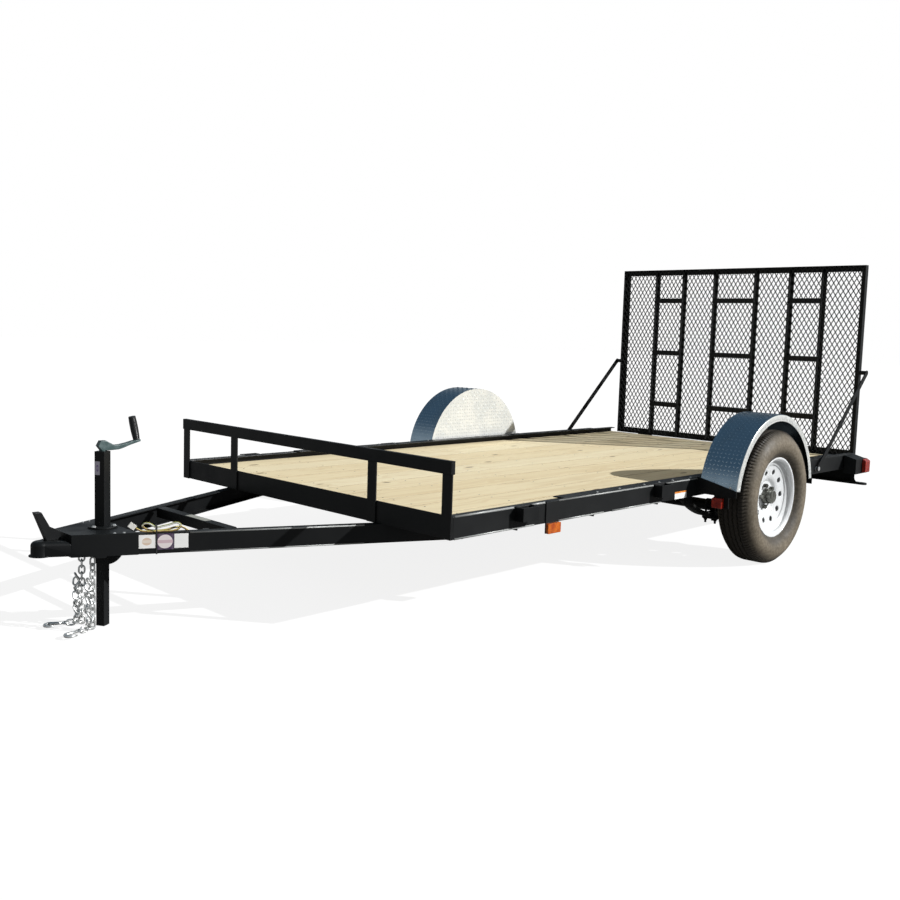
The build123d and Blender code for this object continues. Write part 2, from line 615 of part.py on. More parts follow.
# ---------------------------------------------------------------- gate
GATE_BACK = GATE_FRONT - GATE_DEPTH
with BuildPart() as gate_frame:
    # Outer frame of angle: a flat leg at the back and a web round the edge.
    slab(GATE_BACK, GATE_FRONT, -GATE_HALF, GATE_HALF, GATE_BOTTOM, GATE_BOTTOM + GATE_STEEL)
    slab(GATE_BACK, GATE_FRONT, -GATE_HALF, GATE_HALF, GATE_TOP - GATE_STEEL, GATE_TOP)
    slab(GATE_BACK, GATE_BACK + GATE_STEEL, -GATE_HALF, GATE_HALF, GATE_BOTTOM, GATE_BOTTOM + GATE_BAR)
    slab(GATE_BACK, GATE_BACK + GATE_STEEL, -GATE_HALF, GATE_HALF, GATE_TOP - GATE_BAR, GATE_TOP)
    for side, s in SIDES:
        slab(GATE_BACK, GATE_FRONT, s * (GATE_HALF - GATE_STEEL), s * GATE_HALF, GATE_BOTTOM, GATE_TOP)
        slab(GATE_BACK, GATE_BACK + GATE_STEEL, s * (GATE_HALF - GATE_BAR), s * GATE_HALF,
             GATE_BOTTOM, GATE_TOP)
        for y in GATE_UPRIGHTS:
            slab(GATE_BACK, GATE_BACK + GATE_STEEL, s * y - GATE_UPRIGHT_WIDTH / 2,
                 s * y + GATE_UPRIGHT_WIDTH / 2, GATE_BOTTOM, GATE_TOP)
            slab(GATE_BACK, GATE_FRONT - MESH_THICK, s * y - GATE_STEEL / 2, s * y + GATE_STEEL / 2,
                 GATE_BOTTOM, GATE_TOP)
        # Boss that meets the brace's top end.
        rod((BRACE_TOP_X, s * GATE_HALF, BRACE_TOP_Z),
            (BRACE_TOP_X, s * (BRACE_INNER_Y - BRACE_SIDE_GAP), BRACE_TOP_Z), BRACE_BOSS_RADIUS)
        # Hinge knuckle, and the web that carries it.
        slab(GATE_BACK, HINGE_X, s * HINGE_Y - KNUCKLE_WIDTH / 2, s * HINGE_Y + KNUCKLE_WIDTH / 2,
             HINGE_Z, HINGE_Z + KNUCKLE_RADIUS)
        slab(GATE_BACK, GATE_FRONT, s * HINGE_Y - KNUCKLE_WIDTH / 2, s * HINGE_Y + KNUCKLE_WIDTH / 2,
             HINGE_Z, GATE_BOTTOM)
        rod((HINGE_X, s * HINGE_Y - KNUCKLE_WIDTH / 2, HINGE_Z),
            (HINGE_X, s * HINGE_Y + KNUCKLE_WIDTH / 2, HINGE_Z), KNUCKLE_RADIUS)
        rod((HINGE_X, s * HINGE_Y - KNUCKLE_WIDTH / 2, HINGE_Z),
            (HINGE_X, s * HINGE_Y + KNUCKLE_WIDTH / 2, HINGE_Z),
            HINGE_PIN_RADIUS + HINGE_PIN_CLEAR, mode=Mode.SUBTRACT)
save(gate_frame, "gate_frame")

RUNG_SPANS = ((-630.0, -405.0), (-155.0, 155.0), (405.0, 630.0))
with BuildPart() as gate_rungs:
    for low_y, high_y in RUNG_SPANS:
        for height in RUNG_HEIGHTS:
            rung_z = GATE_BOTTOM + height
            slab(GATE_BACK + GATE_STEEL, GATE_FRONT - MESH_THICK,
                 low_y + GATE_STEEL / 2, high_y - GATE_STEEL / 2,
                 rung_z - GATE_STEEL / 2, rung_z + GATE_STEEL / 2)
            slab(GATE_FRONT - MESH_THICK - GATE_STEEL, GATE_FRONT - MESH_THICK,
                 low_y + GATE_STEEL / 2, high_y - GATE_STEEL / 2,
                 rung_z - RUNG_BAR, rung_z)
save(gate_rungs, "gate_rungs")

# Expanded steel: the plain grid of diamonds stands for the finer mesh.
MESH_HALF = GATE_HALF - GATE_STEEL
MESH_HEIGHT = GATE_HEIGHT - 2 * GATE_STEEL
MESH_PITCH_Y = 2 * (MESH_HALF - MESH_EDGE) / MESH_COLUMNS
MESH_PITCH_Z = (MESH_HEIGHT - 2 * MESH_EDGE) / MESH_ROWS
MESH_SLANT = math.hypot(MESH_PITCH_Y, MESH_PITCH_Z)
MESH_OPEN = 1 - MESH_STRAND * MESH_SLANT / (MESH_PITCH_Y * MESH_PITCH_Z)
OPEN_HALF_Y = MESH_OPEN * MESH_PITCH_Y / 2
OPEN_HALF_Z = MESH_OPEN * MESH_PITCH_Z / 2
with BuildPart() as gate_mesh:
    slab(GATE_FRONT - MESH_THICK, GATE_FRONT, -MESH_HALF, MESH_HALF,
         GATE_BOTTOM + GATE_STEEL, GATE_TOP - GATE_STEEL)
    with BuildSketch(Plane.YZ.offset(GATE_FRONT - MESH_THICK)):
        with Locations((0, (GATE_BOTTOM + GATE_TOP) / 2)):
            with GridLocations(MESH_PITCH_Y, MESH_PITCH_Z, MESH_COLUMNS, MESH_ROWS):
                Polygon((OPEN_HALF_Y, 0), (0, OPEN_HALF_Z), (-OPEN_HALF_Y, 0), (0, -OPEN_HALF_Z))
            with GridLocations(MESH_PITCH_Y, MESH_PITCH_Z, MESH_COLUMNS + 1, MESH_ROWS + 1):
                Polygon((OPEN_HALF_Y, 0), (0, OPEN_HALF_Z), (-OPEN_HALF_Y, 0), (0, -OPEN_HALF_Z))
            Rectangle(2 * (MESH_HALF - MESH_EDGE), MESH_HEIGHT - 2 * MESH_EDGE, mode=Mode.INTERSECT)
    extrude(amount=MESH_THICK, mode=Mode.SUBTRACT)
save(gate_mesh, "gate_mesh")

# Ears and pins on the rear member.
EAR_INNER = KNUCKLE_WIDTH / 2 + EAR_GAP
with BuildPart() as gate_hinges:
    for side, s in SIDES:
        for t in (-1, 1):
            ear_y = s * HINGE_Y + t * EAR_INNER
            slab(HINGE_X, FRAME_REAR, ear_y, ear_y + t * EAR_STEEL,
                 HINGE_Z - KNUCKLE_RADIUS, HINGE_Z + KNUCKLE_RADIUS)
            rod((HINGE_X, ear_y, HINGE_Z), (HINGE_X, ear_y + t * EAR_STEEL, HINGE_Z), KNUCKLE_RADIUS)
        rod((HINGE_X, s * HINGE_Y - EAR_INNER - EAR_STEEL, HINGE_Z),
            (HINGE_X, s * HINGE_Y + EAR_INNER + EAR_STEEL, HINGE_Z), HINGE_PIN_RADIUS)
save(gate_hinges, "gate_hinges")

# ---------------------------------------------------------------- gate braces
for side, s in SIDES:
    brace_inner = s * BRACE_INNER_Y
    brace_outer = s * (BRACE_INNER_Y + BRACE_STEEL)
    with BuildPart() as brace:
        with BuildSketch(Plane.XZ.offset(-max(brace_inner, brace_outer))):
            with Locations((BRACE_PIVOT_X, BRACE_PIVOT_Z), (BRACE_TOP_X, BRACE_TOP_Z)):
                Circle(BRACE_WIDTH / 2)
            run_x = BRACE_TOP_X - BRACE_PIVOT_X
            run_z = BRACE_TOP_Z - BRACE_PIVOT_Z
            run = math.hypot(run_x, run_z)
            side_x = -run_z / run * BRACE_WIDTH / 2
            side_z = run_x / run * BRACE_WIDTH / 2
            Polygon((BRACE_PIVOT_X + side_x, BRACE_PIVOT_Z + side_z),
                    (BRACE_TOP_X + side_x, BRACE_TOP_Z + side_z),
                    (BRACE_TOP_X - side_x, BRACE_TOP_Z - side_z),
                    (BRACE_PIVOT_X - side_x, BRACE_PIVOT_Z - side_z), align=None)
            with Locations((BRACE_PIVOT_X, BRACE_PIVOT_Z)):
                Circle(BRACE_PIN_RADIUS + BRACE_PIN_CLEAR, mode=Mode.SUBTRACT)
            with Locations((BRACE_TOP_X, BRACE_TOP_Z)):
                Circle(BRACE_PIN_RADIUS + BRACE_PIN_CLEAR, mode=Mode.SUBTRACT)
        extrude(amount=BRACE_STEEL)
    save(brace, f"gate_brace_{side}")

with BuildPart() as brace_pivots:
    for side, s in SIDES:
        start = (BRACE_PIVOT_X, s * FRAME_HALF, BRACE_PIVOT_Z)
        shoulder = (BRACE_PIVOT_X, s * (BRACE_INNER_Y - BRACE_SIDE_GAP), BRACE_PIVOT_Z)
        head_y = BRACE_INNER_Y + BRACE_STEEL + BRACE_SIDE_GAP
        rod(start, shoulder, BRACE_BOSS_RADIUS)
        rod(shoulder, (BRACE_PIVOT_X, s * head_y, BRACE_PIVOT_Z), BRACE_PIN_RADIUS)
        rod((BRACE_PIVOT_X, s * head_y, BRACE_PIVOT_Z),
            (BRACE_PIVOT_X, s * (head_y + BRACE_HEAD), BRACE_PIVOT_Z), BRACE_HEAD_RADIUS)
save(brace_pivots, "brace_pivots")

# ---------------------------------------------------------------- fenders
FOOT_RISE = FENDER_FOOT_Z - FENDER_CENTRE_Z


def fender_arch(y, radius):
    """Half-round face above the fender's foot, in the plane at y."""
    reach = math.sqrt(radius ** 2 - FOOT_RISE ** 2)
    foot_front = (FENDER_X + reach, FENDER_FOOT_Z)
    foot_rear = (FENDER_X - reach, FENDER_FOOT_Z)
    with BuildSketch(Plane.XZ.offset(-y)) as arch:
        with BuildLine():
            ThreePointArc(foot_front, (FENDER_X, FENDER_CENTRE_Z + radius), foot_rear)
            Line(foot_rear, foot_front)
        make_face()
    return arch.sketch


for side, s in SIDES:
    width = FENDER_OUTER_Y - FENDER_INNER_Y
    with BuildPart() as fender:
        extrude(fender_arch(s * FENDER_INNER_Y, FENDER_RADIUS), amount=-s * width)
        extrude(fender_arch(s * (FENDER_INNER_Y + FENDER_SHEET), FENDER_RADIUS - FENDER_SHEET),
                amount=-s * (width - 2 * FENDER_SHEET), mode=Mode.SUBTRACT)
        extrude(fender_arch(s * (FENDER_OUTER_Y - 2 * FENDER_SHEET), FENDER_RADIUS - FENDER_LIP),
                amount=-s * 3 * FENDER_SHEET, mode=Mode.SUBTRACT)
    save(fender, f"fender_{side}")

FENDER_REACH = math.sqrt(FENDER_RADIUS ** 2 - FOOT_RISE ** 2)
FENDER_FRONT = FENDER_X + FENDER_REACH
RED_TOP = FENDER_FOOT_Z - MARKER_DROP
with BuildPart() as fender_brackets:
    for side, s in SIDES:
        for t in (-1, 1):
            edge_x = FENDER_X + t * FENDER_REACH
            slab(edge_x, edge_x - t * FENDER_ARM_WIDTH, s * FRAME_HALF, s * FENDER_OUTER_Y,
                 FENDER_FOOT_Z - FENDER_ARM_STEEL, FENDER_FOOT_Z)
            # End plate under the sheet, higher towards the rail.
            with BuildSketch(Plane.YZ.offset(edge_x)):
                Polygon((s * FRAME_HALF, FENDER_PLATE_BOTTOM), (s * FENDER_OUTER_Y, FENDER_PLATE_BOTTOM),
                        (s * FENDER_OUTER_Y, FENDER_FOOT_Z),
                        (s * FRAME_HALF, FENDER_FOOT_Z + FENDER_PLATE_RISE), align=None)
            extrude(amount=t * FENDER_ARM_STEEL)
            # Hanging plate for the marker.
            slab(edge_x, edge_x + t * FENDER_ARM_STEEL, s * (RED_Y - RED_WIDTH / 2),
                 s * (RED_Y + RED_WIDTH / 2 + MARKER_PLATE_OVER), RED_TOP - RED_HEIGHT,
                 FENDER_PLATE_BOTTOM)
save(fender_brackets, "fender_brackets")

# ---------------------------------------------------------------- axle and springs
SPINDLE_TIP = TRACK_HALF + DISC_FACE + HUB_FRONT - SPINDLE_SHORT
with BuildPart() as axle:
    rod((AXLE_X, -DROP_ARM_INNER, AXLE_TUBE_Z), (AXLE_X, DROP_ARM_INNER, AXLE_TUBE_Z), AXLE_TUBE_RADIUS)
    for side, s in SIDES:
        slab(AXLE_X - DROP_ARM_HALF, AXLE_X + DROP_ARM_HALF,
             s * DROP_ARM_INNER, s * (DROP_ARM_INNER + DROP_ARM_THICK),
             AXLE_TUBE_Z - AXLE_TUBE_RADIUS, WHEEL_Z + DROP_ARM_TOP_OVER)
        rod((AXLE_X, s * (DROP_ARM_INNER + DROP_ARM_THICK), WHEEL_Z),
            (AXLE_X, s * SPINDLE_TIP, WHEEL_Z), SPINDLE_RADIUS)
save(axle, "axle")

SPRING_TOP = AXLE_TUBE_Z - AXLE_TUBE_RADIUS
SPRING_MID = SPRING_TOP - SPRING_THICK / 2
with BuildPart() as leaf_springs:
    for side, s in SIDES:
        spring_plane = Plane.XZ.offset(-(s * SPRING_Y + SPRING_WIDTH / 2))
        eye_rear = (AXLE_X - SPRING_HALF_SPAN, SPRING_EYE_Z)
        eye_front = (AXLE_X + SPRING_HALF_SPAN, SPRING_EYE_Z)
        with BuildSketch(spring_plane):
            with BuildLine():
                leaf = ThreePointArc(eye_rear, (AXLE_X, SPRING_MID), eye_front)
                offset(leaf, amount=SPRING_THICK / 2, side=Side.BOTH)
            make_face()
            with Locations(eye_rear, eye_front):
                Circle(SPRING_EYE_RADIUS)
                Circle(EYE_BOLT_RADIUS + EYE_BOLT_CLEAR, mode=Mode.SUBTRACT)
        extrude(amount=SPRING_WIDTH)
save(leaf_springs, "leaf_springs")

with BuildPart() as spring_hangers:
    for side, s in SIDES:
        for t in (-1, 1):
            eye_x = AXLE_X + t * SPRING_HALF_SPAN
            cheek = SPRING_WIDTH / 2 + HANGER_GAP
            for u in (-1, 1):
                cheek_y = s * SPRING_Y + u * cheek
                slab(eye_x - HANGER_HALF, eye_x + HANGER_HALF, cheek_y, cheek_y + u * HANGER_THICK,
                     SPRING_EYE_Z - HANGER_DEPTH_BELOW_EYE, RAIL_BOTTOM - HANGER_THICK)
            slab(eye_x - HANGER_HALF, eye_x + HANGER_HALF, s * (SPRING_Y - cheek - HANGER_THICK),
                 s * (FRAME_HALF - RAIL_LEG + HANGER_HALF), RAIL_BOTTOM - HANGER_THICK, RAIL_BOTTOM)
            rod((eye_x, s * SPRING_Y - cheek - HANGER_THICK, SPRING_EYE_Z),
                (eye_x, s * SPRING_Y + cheek + HANGER_THICK, SPRING_EYE_Z), EYE_BOLT_RADIUS)
save(spring_hangers, "spring_hangers")

# ---------------------------------------------------------------- wheels
for side, s in SIDES:
    centre = (AXLE_X, s * TRACK_HALF, WHEEL_Z)
    section = Plane(origin=centre, x_dir=(0, s, 0), z_dir=(s, 0, 0))
    face = Plane(origin=centre, x_dir=(1, 0, 0), z_dir=(0, s, 0))
    spin_axis = Axis(centre, (0, 1, 0))

    with BuildPart() as tyre:
        with BuildSketch(section):
            with BuildLine():
                half = TYRE_WIDTH / 2
                tread = TYRE_TREAD_WIDTH / 2
                shoulder = TYRE_RADIUS - TYRE_SHOULDER_DROP
                belly = (TYRE_RADIUS + RIM_BEAD_RADIUS) / 2
                Polyline((-tread, shoulder), (-tread + TYRE_SHOULDER_DROP, TYRE_RADIUS),
                         (tread - TYRE_SHOULDER_DROP, TYRE_RADIUS), (tread, shoulder))
                ThreePointArc((tread, shoulder), (half, belly), (TYRE_COLLAR_HALF, TYRE_COLLAR_RADIUS))
                Polyline((TYRE_COLLAR_HALF, TYRE_COLLAR_RADIUS), (TYRE_BEAD_HALF, RIM_BEAD_RADIUS),
                         (-TYRE_BEAD_HALF, RIM_BEAD_RADIUS), (-TYRE_COLLAR_HALF, TYRE_COLLAR_RADIUS))
                ThreePointArc((-TYRE_COLLAR_HALF, TYRE_COLLAR_RADIUS), (-half, belly), (-tread, shoulder))
            make_face()
        revolve(axis=spin_axis)
    save(tyre, f"tyre_{side}")

    with BuildPart() as rim:
        with BuildSketch(section):
            # Barrel: flanges, bead seats and drop centre, a sheet thick.
            with BuildLine():
                Polyline(
                    (-RIM_FLANGE_HALF, RIM_FLANGE_RADIUS), (-RIM_BEAD_HALF, RIM_BEAD_RADIUS),
                    (-RIM_LEDGE_HALF, RIM_LEDGE_RADIUS), (-RIM_WELL_HALF, RIM_WELL_RADIUS),
                    (RIM_WELL_HALF, RIM_WELL_RADIUS), (RIM_LEDGE_HALF, RIM_LEDGE_RADIUS),
                    (RIM_BEAD_HALF, RIM_BEAD_RADIUS), (RIM_FLANGE_HALF, RIM_FLANGE_RADIUS),
                    (RIM_FLANGE_HALF, RIM_FLANGE_RADIUS - RIM_SHEET * 2),
                    (RIM_BEAD_HALF, RIM_BEAD_RADIUS - RIM_SHEET),
                    (RIM_LEDGE_HALF, RIM_LEDGE_RADIUS - RIM_SHEET),
                    (RIM_WELL_HALF, RIM_WELL_RADIUS - RIM_SHEET),
                    (-RIM_WELL_HALF, RIM_WELL_RADIUS - RIM_SHEET),
                    (-RIM_LEDGE_HALF, RIM_LEDGE_RADIUS - RIM_SHEET),
                    (-RIM_BEAD_HALF, RIM_BEAD_RADIUS - RIM_SHEET),
                    (-RIM_FLANGE_HALF, RIM_FLANGE_RADIUS - RIM_SHEET * 2), close=True)
            make_face()
            # Disc: lug face, raised ring, then a cone out to the drop centre.
            with BuildLine():
                Polyline(
                    (DISC_FACE, HUB_HOLE_RADIUS), (DISC_FACE, DISC_RING_RADIUS - DISC_RING_RUN),
                    (DISC_RING_FACE, DISC_RING_RADIUS), (DISC_EDGE_FACE, RIM_WELL_RADIUS - RIM_SHEET / 2),
                    (DISC_EDGE_FACE + DISC_SHEET, RIM_WELL_RADIUS - RIM_SHEET / 2),
                    (DISC_RING_FACE + DISC_SHEET, DISC_RING_RADIUS + DISC_BEND),
                    (DISC_FACE + DISC_SHEET, DISC_RING_RADIUS - DISC_RING_RUN + DISC_BEND),
                    (DISC_FACE + DISC_SHEET, HUB_HOLE_RADIUS), close=True)
            make_face()
        revolve(axis=spin_axis)
        with BuildSketch(face.offset(DISC_FACE - CUT_OVER)):
            with PolarLocations(VENT_CIRCLE_RADIUS, VENT_COUNT):
                Circle(VENT_RADIUS)
            with PolarLocations(STUD_CIRCLE_RADIUS, STUD_COUNT):
                Circle(STUD_HOLE_RADIUS)
        extrude(amount=RIM_BEAD_HALF, mode=Mode.SUBTRACT)
    save(rim, f"rim_{side}")

    with BuildPart() as hub:
        with BuildSketch(face.offset(DISC_FACE - HUB_FLANGE_THICK)):
            Circle(HUB_FLANGE_RADIUS)
        extrude(amount=HUB_FLANGE_THICK)
        with BuildSketch(face.offset(DISC_FACE - HUB_BACK)):
            Circle(HUB_BARREL_RADIUS)
        extrude(amount=HUB_BACK + HUB_FRONT)
        with BuildSketch(face.offset(DISC_FACE + HUB_FRONT)):
            Circle(CAP_RADIUS)
        extrude(amount=CAP_LENGTH)
        with BuildSketch(face.offset(DISC_FACE - HUB_FLANGE_THICK)):
            with PolarLocations(STUD_CIRCLE_RADIUS, STUD_COUNT):
                Circle(STUD_RADIUS)
        extrude(amount=HUB_FLANGE_THICK + DISC_SHEET + NUT_HEIGHT)
        with BuildSketch(face.offset(DISC_FACE + DISC_SHEET)):
            with PolarLocations(STUD_CIRCLE_RADIUS, STUD_COUNT):
                RegularPolygon(NUT_RADIUS, 6)
        extrude(amount=NUT_HEIGHT)
        with BuildSketch(face.offset(DISC_FACE - HUB_BACK)):
            Circle(SPINDLE_RADIUS + SPINDLE_CLEAR)
        extrude(amount=HUB_BACK + HUB_FRONT - HUB_BORE_SHORT, mode=Mode.SUBTRACT)
    save(hub, f"hub_{side}")

# ---------------------------------------------------------------- lamps
LENS_TOP = LAMP_TOP - LAMP_SLOPE
LENS_FACE_Y = LAMP_OUTER_Y + LENS_THICK
BRACKET_Y = FRAME_HALF + LAMP_BRACKET_REACH
BRACKET_CURVE_Y = BRACKET_Y + LAMP_BRACKET_ROUND
BRACKET_CURVE_Z = TAB_TOP + LAMP_BRACKET_ROUND
with BuildPart() as tail_lamp_housings:
    for side, s in SIDES:
        with BuildSketch(Plane.YZ.offset(LAMP_REAR)):
            Polygon((s * LAMP_INNER_Y, LAMP_BOTTOM), (s * LAMP_OUTER_Y, LAMP_BOTTOM),
                    (s * LAMP_OUTER_Y, LENS_TOP), (s * LAMP_INNER_Y, LAMP_TOP), align=None)
        extrude(amount=LAMP_LENGTH)
        slab(LAMP_REAR, LAMP_REAR + LAMP_FOOT, s * FRAME_HALF, s * LAMP_INNER_Y,
             RAIL_BOTTOM, LAMP_TOP)
        # Plate down to the lug, with a hollow outer corner.
        with BuildSketch(Plane.YZ.offset(LAMP_REAR)):
            Polygon((s * FRAME_HALF, TAB_TOP), (s * BRACKET_CURVE_Y, TAB_TOP),
                    (s * BRACKET_CURVE_Y, BRACKET_CURVE_Z), (s * BRACKET_Y, BRACKET_CURVE_Z),
                    (s * BRACKET_Y, LAMP_BOTTOM), (s * FRAME_HALF, LAMP_BOTTOM), align=None)
            with Locations((s * BRACKET_CURVE_Y, BRACKET_CURVE_Z)):
                Circle(LAMP_BRACKET_ROUND, mode=Mode.SUBTRACT)
        extrude(amount=LAMP_BRACKET_STEEL)
save(tail_lamp_housings, "tail_lamp_housings")

with BuildPart() as tail_lamp_lenses:
    for side, s in SIDES:
        with BuildSketch(Plane.YZ.offset(LAMP_REAR - LENS_THICK)):
            Polygon((s * LAMP_OUTER_Y, LAMP_BOTTOM), (s * LENS_FACE_Y, LAMP_BOTTOM + LENS_BOTTOM_CHAMFER),
                    (s * LENS_FACE_Y, LENS_TOP - LENS_TOP_CHAMFER), (s * LAMP_OUTER_Y, LENS_TOP),
                    align=None)
        extrude(amount=LENS_THICK + LENS_LENGTH)
        slab(LAMP_REAR - LENS_THICK, LAMP_REAR, s * LAMP_INNER_Y, s * LAMP_OUTER_Y,
             LAMP_BOTTOM, LENS_TOP)
save(tail_lamp_lenses, "tail_lamp_lenses")

with BuildPart() as marker_plates:
    for side, s in SIDES:
        slab(AMBER_X - MARKER_PLATE_LENGTH / 2, AMBER_X + MARKER_PLATE_LENGTH / 2,
             s * FRAME_HALF, s * (FRAME_HALF + MARKER_PLATE_STEEL),
             RAIL_BOTTOM - AMBER_HEIGHT, RAIL_TOP)
save(marker_plates, "marker_plates")

with BuildPart() as amber_markers:
    for side, s in SIDES:
        slab(AMBER_X - AMBER_LENGTH / 2, AMBER_X + AMBER_LENGTH / 2,
             s * (FRAME_HALF + MARKER_PLATE_STEEL), s * (FRAME_HALF + MARKER_PLATE_STEEL + AMBER_DEPTH),
             RAIL_BOTTOM - AMBER_HEIGHT, RAIL_BOTTOM)
save(amber_markers, "amber_markers")

RED_REAR = FENDER_FRONT + FENDER_ARM_STEEL
with BuildPart() as red_markers:
    for side, s in SIDES:
        slab(RED_REAR, RED_REAR + RED_LENGTH,
             s * (RED_Y - RED_WIDTH / 2), s * (RED_Y + RED_WIDTH / 2), RED_TOP - RED_HEIGHT, RED_TOP)
save(red_markers, "red_markers")

# ---------------------------------------------------------------- stake pockets
POCKET_TOP = RAIL_TOP
with BuildPart() as stake_pockets:
    for side, s in SIDES:
        for pocket_set in POCKET_SETS:
            x = FRAME_FRONT - pocket_set
            slab(x - POCKET_LENGTH / 2, x + POCKET_LENGTH / 2, s * FRAME_HALF,
                 s * (FRAME_HALF + POCKET_DEPTH), POCKET_TOP - POCKET_HEIGHT, POCKET_TOP)
            slab(x - POCKET_LENGTH / 2 + POCKET_STEEL, x + POCKET_LENGTH / 2 - POCKET_STEEL,
                 s * FRAME_HALF, s * (FRAME_HALF + POCKET_DEPTH - POCKET_STEEL),
                 POCKET_TOP - POCKET_HEIGHT, POCKET_TOP, mode=Mode.SUBTRACT)
save(stake_pockets, "stake_pockets")

# ---------------------------------------------------------------- safety chains
CHAIN_TOP = CHAIN_PLATE_BOTTOM - CHAIN_EYE_HEIGHT - CHAIN_SEAT
LINK_OUTER_WIDTH = CHAIN_INNER_WIDTH + 2 * CHAIN_WIRE
FLOOR_AXIS_Z = LINK_OUTER_WIDTH / 2
LAST_SEAT_Z = FLOOR_AXIS_Z - CHAIN_WIRE / 2 - CHAIN_SEAT
# The links' length is what makes the hanging run end with its last link on the ground.
LINK_INNER_LENGTH = (CHAIN_TOP - CHAIN_WIRE - LAST_SEAT_Z + CHAIN_SLACK * (CHAIN_LINKS - 1)) / CHAIN_LINKS
LINK_OUTER_LENGTH = LINK_INNER_LENGTH + 2 * CHAIN_WIRE
LINK_PITCH = LINK_INNER_LENGTH - CHAIN_SLACK


def chain_link(plane):
    """One link in a plane, its length along the plane's y."""
    with BuildSketch(plane) as link:
        Rectangle(LINK_OUTER_WIDTH, LINK_OUTER_LENGTH)
        Rectangle(CHAIN_INNER_WIDTH, LINK_INNER_LENGTH, mode=Mode.SUBTRACT)
    extrude(link.sketch, amount=CHAIN_WIRE / 2, both=True)


with BuildPart() as safety_chains:
    for side, s in SIDES:
        turn = math.radians(CHAIN_TURN[side])
        along = Vector(math.cos(turn), math.sin(turn), 0)
        across = Vector(-math.sin(turn), math.cos(turn), 0)
        up = Vector(0, 0, 1)
        drop = Vector(CHAIN_X, s * CHAIN_Y, 0)
        with Locations(Plane(origin=drop + up * CHAIN_PLATE_BOTTOM, x_dir=along, z_dir=up)):
            Box(CHAIN_EYE_LENGTH, CHAIN_WIRE, CHAIN_EYE_HEIGHT,
                align=(Align.CENTER, Align.CENTER, Align.MAX))
        for index in range(CHAIN_LINKS):
            link_centre = drop + up * (CHAIN_TOP - LINK_OUTER_LENGTH / 2 - index * LINK_PITCH)
            if index % 2:
                chain_link(Plane(origin=link_centre, x_dir=across, z_dir=-along))
            else:
                chain_link(Plane(origin=link_centre, x_dir=along, z_dir=-across))
        # Two links on the ground, one flat and one on edge, and the hook in the second.
        flat_reach = LINK_INNER_LENGTH / 2 + CHAIN_WIRE / 2
        flat_centre = drop + up * FLOOR_AXIS_Z + along * flat_reach
        chain_link(Plane(origin=flat_centre, x_dir=-across, z_dir=up))
        edge_centre = flat_centre + along * LINK_PITCH
        chain_link(Plane(origin=edge_centre, x_dir=up, z_dir=across))
        eye_centre = edge_centre + along * (LINK_INNER_LENGTH / 2 + HOOK_EYE_HOLE - CHAIN_SLACK)
        with BuildSketch(Plane(origin=eye_centre, x_dir=along, z_dir=up)):
            with Locations((HOOK_SHANK / 2, 0)):
                Rectangle(HOOK_SHANK, HOOK_EYE_RADIUS)
            Circle(HOOK_EYE_RADIUS)
            with Locations((HOOK_SHANK, HOOK_BEND_RADIUS - HOOK_EYE_RADIUS / 2)):
                Circle(HOOK_BEND_RADIUS)
                Circle(HOOK_BEND_HOLE, mode=Mode.SUBTRACT)
                Rectangle(2 * HOOK_BEND_RADIUS, 2 * HOOK_BEND_RADIUS,
                          align=(Align.MAX, Align.MIN), mode=Mode.SUBTRACT)
            Circle(HOOK_EYE_HOLE, mode=Mode.SUBTRACT)
        extrude(amount=HOOK_THICK / 2, both=True)
save(safety_chains, "safety_chains")

# ---------------------------------------------------------------- wiring harness
HARNESS_DATUM_REACH = 834.0
HARNESS_DATUM_X = FRAME_FRONT + HARNESS_DATUM_REACH


def on_beam(back, inward, rise):
    """A place by the left beam: back along it, in from its outer face, above its top."""
    return (HARNESS_DATUM_X - back * TONGUE_COS - inward * TONGUE_SIN,
            tongue_outer_y(HARNESS_DATUM_X) + back * TONGUE_SIN - inward * TONGUE_COS,
            TONGUE_TOP + rise)


# Route of the folded flat cable: back, inward, rise.
HARNESS_ROUTE = (
    (236, 47, -22), (208, 47, -22), (182, 45, -5), (160, 38, 13), (134, 29, 14), (106, 25, 6),
    (78, 24, 3.6), (52, 25, 4.5), (30, 25, 10), (16, 24, 22), (24, 21, 34), (44, 18, 33),
    (66, 16, 15), (90, 15, 22), (114, 15, 26), (134, 15, 34), (150, 13, 30), (152, 11, 16),
    (138, 9, 6), (112, 9, 3.6), (84, 12, 3.6), (56, 9, 3.8), (30, 9, 4.5), (8, 9, 8), (-8, 8, 20),
)
FOLD_SHARE = 0.45
FOLD_END = 1.0


def cord_wire(points):
    """Straight runs joined by tangent arcs, each as large as its two runs allow."""
    spots = [Vector(*point) for point in points]
    radii = []
    with BuildLine() as line:
        start = spots[0]
        for before, here, after in zip(spots, spots[1:], spots[2:]):
            to_before = (before - here).normalized()
            to_after = (after - here).normalized()
            turn = math.pi - math.acos(max(-1.0, min(1.0, to_before.dot(to_after))))
            reach = FOLD_SHARE * min((before - here).length, (after - here).length)
            radius = reach / math.tan(turn / 2)
            radii.append(round(radius, 1))
            arc_in = here + to_before * reach
            arc_out = here + to_after * reach
            middle = (to_before + to_after).normalized()
            depth = math.hypot(radius, reach) - radius
            Line(start, arc_in)
            ThreePointArc(arc_in, here + middle * depth, arc_out)
            start = arc_out
        Line(start, spots[-1])
    print("harness radii", radii, "length", round(line.wires()[0].length, 1))
    return line.wires()[0]


HARNESS_POINTS = [on_beam(*spot) for spot in HARNESS_ROUTE]
harness_path = cord_wire(HARNESS_POINTS)
with BuildPart() as wiring_harness:
    with BuildSketch(Plane(origin=harness_path @ 0, z_dir=harness_path % 0)):
        Circle(CORD_RADIUS)
    sweep(path=harness_path)
save(wiring_harness, "wiring_harness")

